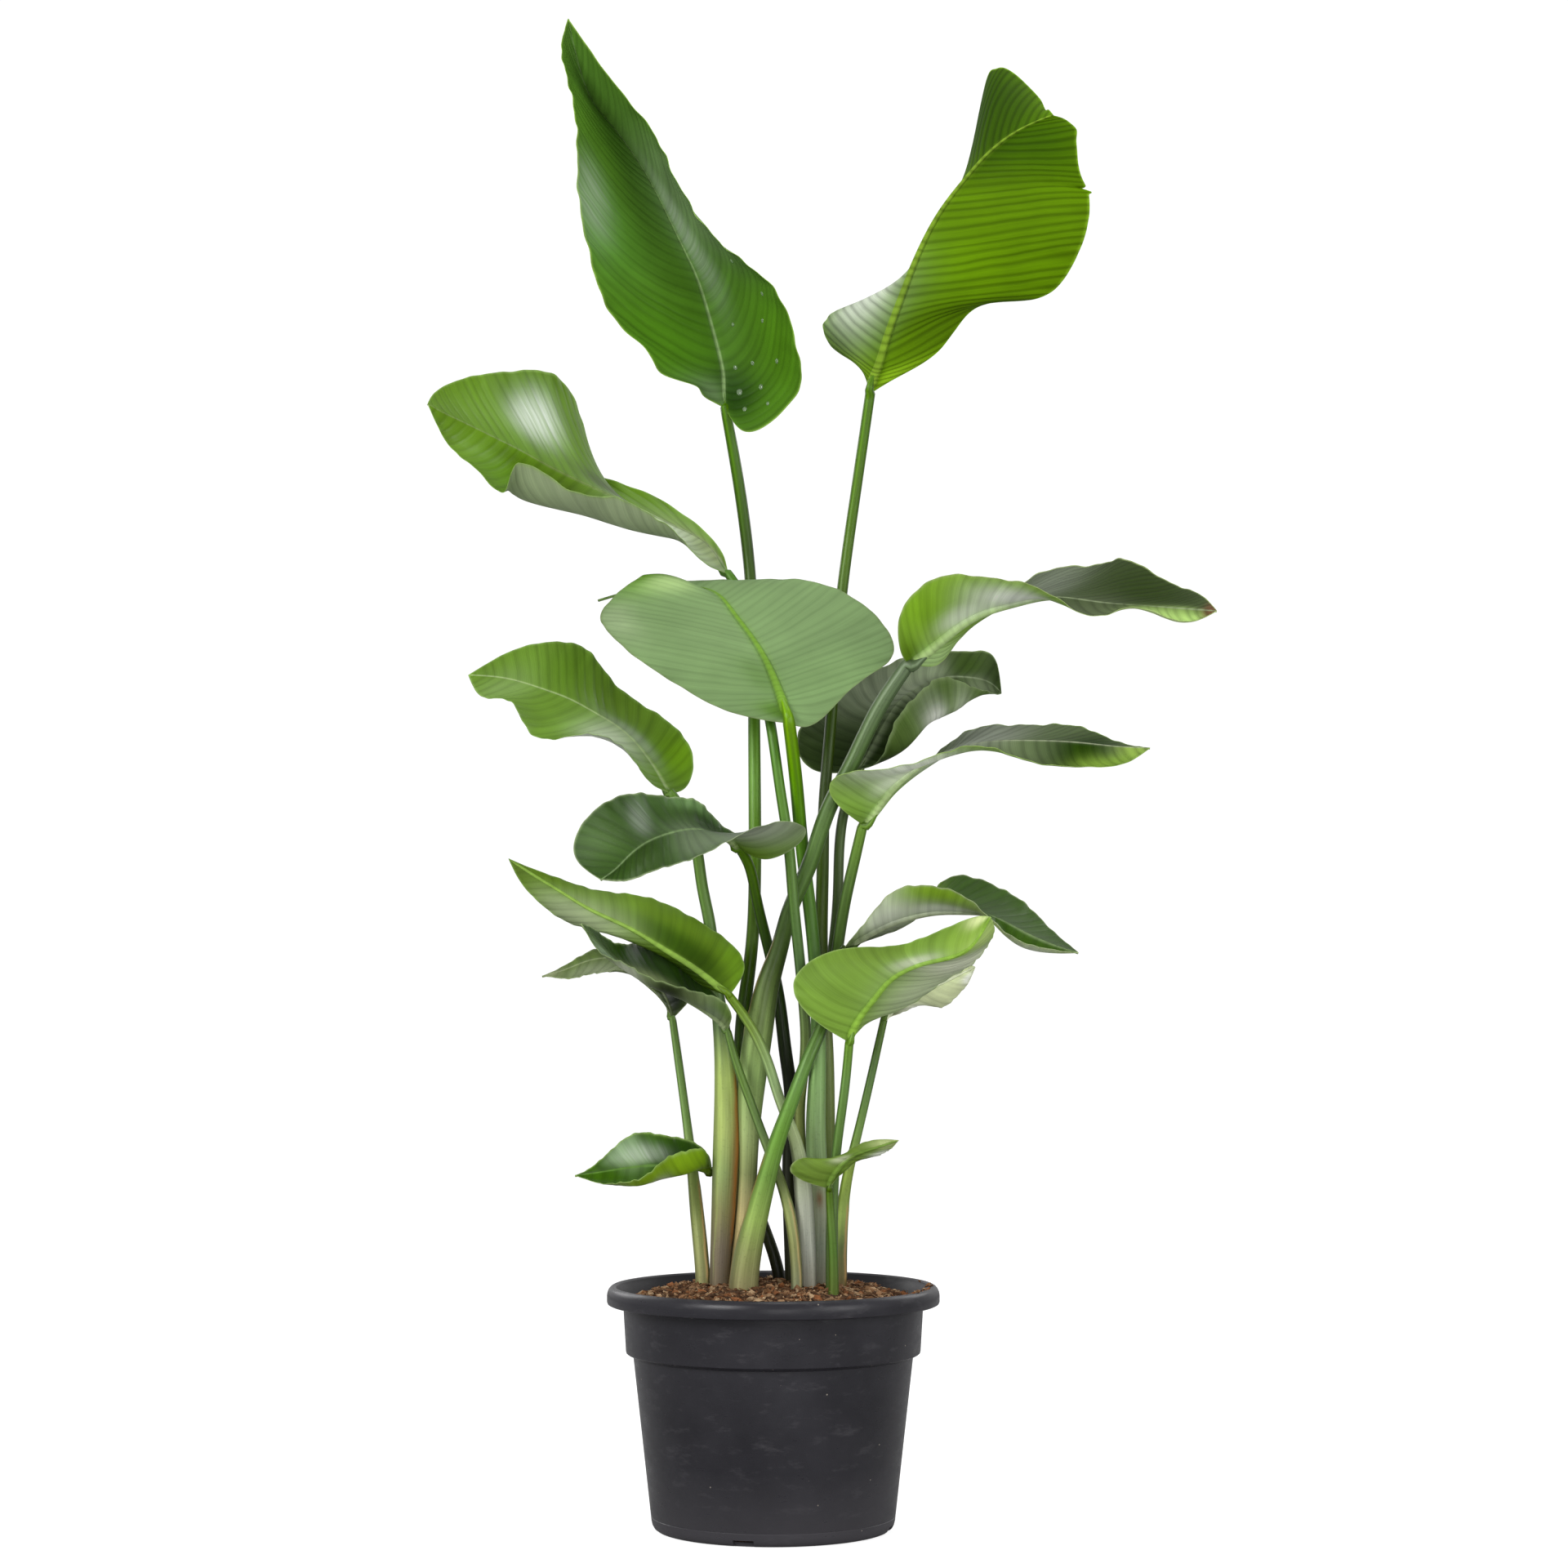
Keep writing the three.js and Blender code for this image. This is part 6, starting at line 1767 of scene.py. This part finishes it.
@dataclass
class NurseryPot:
    """The moulded pot, with its sizes in millimetres: a tapered body, a collar and a rolled rim."""

    segments: int = 160
    wall: float = 2.2
    base_radius: float = 117.0
    base_corner: float = 9.0
    body_top_radius: float = 134.6
    body_top: float = 165.0
    collar_foot_radius: float = 141.7
    collar_foot: float = 169.0
    collar_radius: float = 144.6
    rim_underside: float = 214.5
    rim_radius: float = 160.0
    height: float = 232.0
    slots: int = 4
    slot_width: float = 20.0
    slot_height: float = 6.5
    slot_depth: float = 14.0
    slot_first_angle: float = -104.0
    sharpest_smooth: float = 32.0

    def outline(self) -> list[tuple[float, float]]:
        """The wall's section from the underside's edge, up outside, over the rim and down inside.

        Returns:
            Radius and height of each corner.
        """
        base, corner = self.base_radius, self.base_corner
        body, body_top = self.body_top_radius, self.body_top
        foot, foot_height = self.collar_foot_radius, self.collar_foot
        collar, under_rim = self.collar_radius, self.rim_underside
        rim, top = self.rim_radius, self.height
        outside = [
            (base - corner, 0.0), (base - 5.0, 0.5), (base - 2.6, 2.2), (base - 1.0, 5.0), (base, corner),
            (base + 0.4, 12.6), (base + 0.05, 13.1), (base + 0.5, 13.7),
            (body, body_top), (body + 1.2, body_top + 1.0),
            (foot - 1.6, foot_height - 1.4), (foot - 0.4, foot_height - 0.5), (foot, foot_height + 1),
            (collar - 0.3, under_rim - 1.4), (collar + 0.7, under_rim),
            (rim - 2.4, under_rim + 0.1), (rim - 0.7, under_rim + 0.9), (rim, under_rim + 2.6),
            (rim, top - 8.5), (rim - 0.5, top - 5.6), (rim - 1.7, top - 3.0), (rim - 3.4, top - 1.0),
            (rim - 5.2, top),
        ]
        inside = [
            (rim - 7.2, top - 0.2), (rim - 8.9, top - 1.4), (rim - 10.0, top - 4.6),
            (collar - self.wall, under_rim - 2.0),
            (foot - self.wall, foot_height + 1.0),
            (body - self.wall, body_top + 1.0),
            (base - self.wall, corner), (base - corner, self.wall),
        ]
        return outside + inside

    def build(self, material: bpy.types.Material) -> bpy.types.Object:
        """Turns the outline, closes it and cuts the drain slots.

        Args:
            material: The plastic.

        Returns:
            The finished piece.
        """
        (radius, height), *others = self.outline()
        deselect_all()
        bpy.ops.mesh.primitive_circle_add(
            vertices=self.segments, radius=radius * MM, location=(0, 0, height * MM))
        pot = bpy.context.object
        pot.name = pot.data.name = "pot_fine"
        bpy.ops.object.mode_set(mode="EDIT")
        for next_radius, next_height in others:
            rise = (0, 0, (next_height - height) * MM)
            bpy.ops.mesh.extrude_region_move(TRANSFORM_OT_translate={"value": rise})
            share = next_radius / radius
            centre = (0, 0, next_height * MM)
            bpy.ops.transform.resize(value=(share, share, 1), center_override=centre)
            radius, height = next_radius, next_height
        bpy.ops.mesh.edge_face_add()
        bpy.ops.mesh.select_all(action="DESELECT")
        bpy.ops.mesh.select_non_manifold()
        bpy.ops.mesh.edge_face_add()
        bpy.ops.mesh.select_all(action="SELECT")
        bpy.ops.mesh.normals_make_consistent(inside=False)
        bpy.ops.object.mode_set(mode="OBJECT")
        cutter = self.slot_cutter()
        cut = pot.modifiers.new("drain_slots", "BOOLEAN")
        cut.object = cutter
        cut.operation = "DIFFERENCE"
        cut.solver = "EXACT"
        make_active(pot)
        bpy.ops.object.modifier_apply(modifier=cut.name)
        bpy.data.objects.remove(cutter)
        bpy.ops.object.transform_apply(location=True, rotation=True, scale=True)
        smooth(pot, self.sharpest_smooth)
        pot.data.materials.clear()
        pot.data.materials.append(material)
        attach(pot, BODY)
        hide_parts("pot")
        return pot

    def slot_cutter(self) -> bpy.types.Object:
        """The blocks that cut the drain slots, joined in one object."""
        deselect_all()
        blocks = []
        for i in range(self.slots):
            angle = math.radians(self.slot_first_angle + 360 * i / self.slots)
            place = Vector((self.base_radius * math.cos(angle), self.base_radius * math.sin(angle), 0))
            bpy.ops.mesh.primitive_cube_add(size=1, location=place * MM, rotation=(0, 0, angle))
            block = bpy.context.object
            block.scale = (self.slot_depth * MM, self.slot_width * MM, 2 * self.slot_height * MM)
            blocks.append(block)
        for block in blocks:
            block.select_set(True)
        bpy.ops.object.join()
        return bpy.context.object


@dataclass
class PottingSoil:
    """The soil's body with its heaped top, and the crumbs and fibres on it, in millimetres.

    LUMPS gives the height, the rate and the layer of each noise. RIM_TURN is a middle and a spread.
    PROFILE is the top's radius and height from the middle outwards, and WALL goes on down the side.
    """

    edge_radius: float = 142.0
    rings: int = 74
    spokes: int = 200
    sharpest_smooth: float = 60.0
    crumbs: int = 4200
    crumbs_on_rim: int = 26
    rim_top: float = 231.2
    fibres: int = 460
    seed: int = 11

    LUMPS = ((2.2, 0.055, 0), (1.3, 0.17, 9), (0.9, 0.5, 20))
    RIM_REACH = (146, 153)
    RIM_TURN = (-12, 16)
    FIBRE_LENGTH = (4, 13)
    STRETCHES = ((0.8, 2.4), (0.6, 1.1), (0.5, 1.0))
    PROFILE = ((0, 233), (50, 232), (80, 230), (105, 227), (125, 221), (142, 217))
    WALL = ((141.6, 212), (138.8, 171), (131.8, 166.5), (114, 10), (107, 2.6))
    BROWNS = (
        (160, 122, 88), (146, 108, 76), (116, 82, 54), (88, 58, 38),
        (178, 142, 106), (206, 174, 136), (154, 98, 60), (70, 46, 30),
    )

    def height(self, x: float, y: float) -> float:
        """The height of the soil's top at a place, with its unevenness."""
        reach = math.hypot(x, y)
        base = float(np.interp(reach, *zip(*self.PROFILE)))
        lumps = sum(high * noise.noise(Vector((x, y, layer)) * rate) for high, rate, layer in self.LUMPS)
        return base + lumps * min(1.0, (self.edge_radius - reach) / 6 + 0.15)

    def ring(self, reach: float) -> list[tuple[float, float]]:
        """Evenly spaced places on a circle."""
        turns = [2 * math.pi * k / self.spokes for k in range(self.spokes)]
        return [(reach * math.cos(turn), reach * math.sin(turn)) for turn in turns]

    def build_body(self, material: bpy.types.Material) -> bpy.types.Object:
        """Models the soil that fills the pot.

        Args:
            material: The soil's finish.

        Returns:
            The finished piece.
        """
        points = [(0.0, 0.0, self.height(0, 0))]
        for ring in range(1, self.rings + 1):
            for x, y in self.ring(self.edge_radius * ring / self.rings):
                points.append((x, y, self.height(x, y)))
        for reach, z in self.WALL:
            points.extend((x, y, z) for x, y in self.ring(reach))
        rows = self.rings + len(self.WALL)
        faces = grid_faces(1, rows, self.spokes, True, around=True).tolist()
        for k in range(self.spokes):
            faces.append([0, 1 + k, 1 + (k + 1) % self.spokes])
        last = 1 + (rows - 1) * self.spokes
        faces.append([last + k for k in range(self.spokes - 1, -1, -1)])
        piece = make_piece("soil_fine", (np.array(points) * MM).tolist(), faces, material)
        smooth(piece, self.sharpest_smooth)
        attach(piece, BODY)
        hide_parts("soil")
        return piece

    def crumb_template(self) -> tuple[np.ndarray, np.ndarray]:
        """One crumb of few faces, to be copied: its points and its faces."""
        deselect_all()
        bpy.ops.mesh.primitive_ico_sphere_add(subdivisions=1, radius=1)
        crumb = bpy.context.object
        points = np.array([v.co for v in crumb.data.vertices])
        faces = np.array([list(p.vertices) for p in crumb.data.polygons])
        mesh = crumb.data
        bpy.data.objects.remove(crumb)
        bpy.data.meshes.remove(mesh)
        return points, faces

    def crumb_shape(self, draw: random.Random, template: np.ndarray,
                    fibre: bool) -> tuple[np.ndarray, float]:
        """Draws one crumb or fibre.

        Args:
            draw: The source of chance.
            template: The points of a plain crumb.
            fibre: Whether to make a fibre.

        Returns:
            Its points round the origin, in millimetres, and how far to lift it off the ground.
        """
        size = min(0.7 + draw.expovariate(1.3), 4.0)
        if fibre:
            shape = template * np.array([draw.uniform(*self.FIBRE_LENGTH), 0.45, 0.45])
            lift = 0.6
        else:
            rough = np.array([draw.uniform(0.5, 1.4) for _ in range(len(template))])
            stretch = [draw.uniform(low, high) for low, high in self.STRETCHES]
            shape = template * rough[:, None] * np.array(stretch) * size
            lift = 0.25 * size
        turned = Matrix.Rotation(draw.uniform(0, 2 * math.pi), 3, "Z")
        tilted = Matrix.Rotation(draw.uniform(-0.5, 0.5), 3, "Y")
        return shape @ np.array(turned @ tilted).T, lift

    def build_crumbs(self, material: bpy.types.Material) -> bpy.types.Object:
        """Strews crumbs and coir fibres over the soil, and a few over the rim at the right.

        Args:
            material: The crumbs' finish.

        Returns:
            The finished piece.
        """
        draw = random.Random(self.seed)
        template, template_faces = self.crumb_template()
        points: list[np.ndarray] = []
        faces: list[np.ndarray] = []
        tones: list[np.ndarray] = []
        for i in range(self.crumbs + self.fibres):
            reach = (self.edge_radius - 3) * math.sqrt(draw.random())
            turn = draw.uniform(0, 2 * math.pi)
            if i < self.crumbs_on_rim:
                reach = draw.uniform(*self.RIM_REACH)
                turn = math.radians(draw.gauss(*self.RIM_TURN))
            x, y = reach * math.cos(turn), reach * math.sin(turn)
            ground = self.height(x, y) if reach < self.edge_radius else self.rim_top
            shape, lift = self.crumb_shape(draw, template, i >= self.crumbs)
            points.append((shape + np.array([x, y, ground + lift])) * MM)
            faces.append(template_faces + i * len(template))
            tone = linear(draw.choice(self.BROWNS)) * draw.uniform(0.8, 1.25)
            tones.append(np.tile([*tone, 1.0], (len(template), 1)))
        piece = make_piece(
            "soil_crumbs", np.concatenate(points).tolist(), np.concatenate(faces).tolist(), material)
        layer = piece.data.attributes.new(CRUMB_TONE, "FLOAT_COLOR", "POINT")
        layer.data.foreach_set("color", np.concatenate(tones).astype(np.float32).ravel())
        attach(piece, BODY)
        return piece


@dataclass
class SoftLight:
    """A square studio light that looks at the plant's middle."""

    name: str
    place: tuple[float, float, float]
    size: float
    power: float
    aim: tuple[float, float, float] = (0.0, 0.0, 0.75)

    def build(self) -> None:
        """Adds the light."""
        data = bpy.data.lights.new(self.name, "AREA")
        data.shape = "SQUARE"
        data.size = self.size
        data.energy = self.power
        lamp = bpy.data.objects.new(self.name, data)
        bpy.context.scene.collection.objects.link(lamp)
        lamp.location = self.place
        lamp.rotation_euler = (Vector(self.aim) - Vector(self.place)).to_track_quat("-Z", "Y").to_euler()


class Studio:
    """The white room: floor, surroundings, lights and camera."""

    CAMERA_PLACE = (0.0, -3.5, 0.568)
    CAMERA_AIM = (0.0103, 0.0, 0.715)
    FOCAL_MM = 83.06
    SENSOR_MM = 36.0
    FLOOR_WHITE = 0.35
    FLOOR_GLOW = 0.85
    BACKDROP_GLOW = 1.05
    FRONT_GLOW = 0.5
    BACK_GLOW = 0.7
    LIGHTS = (
        SoftLight("key_left", (-2.2, -2.6, 2.2), 1.5, 84.0),
        SoftLight("fill_right", (2.6, -2.4, 1.2), 1.8, 44.0),
        SoftLight("fill_low", (0.3, -3.0, 0.5), 0.9, 12.0),
        SoftLight("top", (0.2, 0.2, 3.3), 1.6, 34.0),
        SoftLight("back_left", (-2.0, 2.2, 1.8), 1.4, 20.0),
        SoftLight("back_right", (2.2, 2.0, 2.2), 1.4, 20.0),
    )

    def build_camera(self) -> None:
        """Puts the camera where the picture was taken from."""
        data = bpy.data.cameras.new("camera")
        data.lens = self.FOCAL_MM
        data.sensor_width = self.SENSOR_MM
        data.clip_end = 60.0
        camera = bpy.data.objects.new("camera", data)
        bpy.context.scene.collection.objects.link(camera)
        camera.location = self.CAMERA_PLACE
        gaze = Vector(self.CAMERA_AIM) - Vector(self.CAMERA_PLACE)
        camera.rotation_euler = gaze.to_track_quat("-Z", "Y").to_euler()
        bpy.context.scene.camera = camera

    def build_floor(self) -> None:
        """Lays a plain white floor that melts into the white surroundings."""
        deselect_all()
        bpy.ops.mesh.primitive_plane_add(size=40, location=(0, 0, -0.0002))
        floor = bpy.context.object
        floor.name = "studio_floor"
        shader = Shader("studio_white")
        shader.finished(Base_Color=(*[self.FLOOR_WHITE] * 3, 1.0), Roughness=0.9, Specular_IOR_Level=0.0)
        glow = shader.add("ShaderNodeEmission")
        glow.inputs["Color"].default_value = (1.0, 1.0, 1.0, 1.0)
        path = shader.add("ShaderNodeLightPath")
        strength = shader.math("MULTIPLY", path.outputs["Is Camera Ray"], self.FLOOR_GLOW)
        shader.join(strength, glow.inputs["Strength"])
        both = shader.add("ShaderNodeAddShader")
        output = next(n for n in shader.tree.nodes if n.type == "OUTPUT_MATERIAL")
        shader.join(shader.surface.outputs[0], both.inputs[0])
        shader.join(glow.outputs[0], both.inputs[1])
        shader.join(both.outputs[0], output.inputs["Surface"])
        floor.data.materials.append(shader.material)

    def build_surroundings(self) -> None:
        """Lights the plant from all round, brighter from behind, before a white background."""
        world = bpy.data.worlds.new("studio")
        bpy.context.scene.world = world
        world.use_nodes = True
        world.node_tree.nodes.clear()
        nodes = Nodes(world.node_tree)
        around = nodes.add("ShaderNodeTexCoord").outputs["Generated"]
        glow = nodes.spread(nodes.axis(around, "Y"), -1.0, 1.0, self.FRONT_GLOW, self.BACK_GLOW)
        lighting = nodes.add("ShaderNodeBackground")
        nodes.join(glow, lighting.inputs["Strength"])
        seen = nodes.add("ShaderNodeBackground")
        seen.inputs["Color"].default_value = (1.0, 1.0, 1.0, 1.0)
        seen.inputs["Strength"].default_value = self.BACKDROP_GLOW
        mix = nodes.add("ShaderNodeMixShader")
        nodes.join(nodes.add("ShaderNodeLightPath").outputs["Is Camera Ray"], mix.inputs["Fac"])
        nodes.join(lighting.outputs[0], mix.inputs[1])
        nodes.join(seen.outputs[0], mix.inputs[2])
        nodes.join(mix.outputs[0], nodes.add("ShaderNodeOutputWorld").inputs["Surface"])

    def build(self) -> None:
        """Sets up the whole studio."""
        self.build_camera()
        self.build_floor()
        self.build_surroundings()
        for light in self.LIGHTS:
            light.build()
        view = bpy.context.scene.view_settings
        view.view_transform = "Standard"
        view.look = "None"
        view.exposure = 0.0
        view.gamma = 1.0


def leaf_finishes() -> dict[str, bpy.types.Material]:
    """Makes each leaf finish once."""
    # The pale colours of the painted sheen, a painted highlight, on the glossy and the dull upper faces.
    silver = (222, 230, 220)
    grey = (190, 194, 184)
    blades = (
        BladeFinish("leaf_upper_gloss", 0.34, 0.02, 0.014, 0.0003, 0.09, 0.00005, 0.09, 0.07, silver),
        BladeFinish("leaf_upper_satin", 0.42, 0.0, 0.012, 0.0003, 0.08, 0.00005, 0.09, 0.08),
        BladeFinish("leaf_upper_dull", 0.62, 0.0, 0.012, 0.0004, 0.13, 0.00005, 0.12, 0.04, grey),
        BladeFinish("leaf_under_satin", 0.52, 0.0, 0.013, 0.0003, 0.06, 0.00005, 0.08, 0.08),
        BladeFinish(
            "leaf_under_matt", 0.62, 0.0, 0.0105, 0.0002, 0.06, 0.00005, 0.06, 0.08, band_contrast=0.07),
        BladeFinish("leaf_under_backlit", 0.62, 0.0, 0.0125, 0.0006, 0.2, 0.00006, 0.09, 0.03),
    )
    return {finish.name: finish.material() for finish in (*blades, StalkFinish())}


DROPS = (
    Drop(0.10, 0.30, 3.2), Drop(0.14, 0.52, 2.6), Drop(0.08, 0.55, 2.4), Drop(0.19, 0.36, 2.2),
    Drop(0.22, 0.66, 2.4), Drop(0.30, 0.58, 2.0), Drop(0.16, 0.16, 2.2), Drop(0.36, 0.72, 2.2),
    Drop(0.44, 0.62, 2.4), Drop(0.27, 0.22, 1.8), Drop(0.12, 0.74, 2.0),
)


def main() -> None:
    """Builds the pot, its soil and the leaves, then the studio."""
    logging.basicConfig(level=logging.INFO, format="%(message)s")
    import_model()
    pot = NurseryPot().build(PotFinish().material())
    LOG.info("pot: %s faces", len(pot.data.polygons))
    soil = PottingSoil()
    soil.build_body(SoilFinish("potting_soil", (52, 36, 26), (98, 72, 52), (136, 108, 82)).material())
    crumbs = soil.build_crumbs(
        SoilFinish("soil_crumb", (52, 36, 26), (112, 84, 62), (150, 122, 94), by_crumb=True).material())
    LOG.info("soil crumbs: %s faces", len(crumbs.data.polygons))
    finishes = leaf_finishes()
    for name, shape in SHAPES.items():
        leaf = Leaf(name, shape, LOOKS[name])
        piece = leaf.build(finishes)
        LOG.info("%s: %s faces", name, len(piece.data.polygons))
        if name == "leaf_tall_left":
            WaterDrops(leaf, DROPS).build(WaterFinish().material())
    Studio().build()


if __name__ == "__main__":
    main()
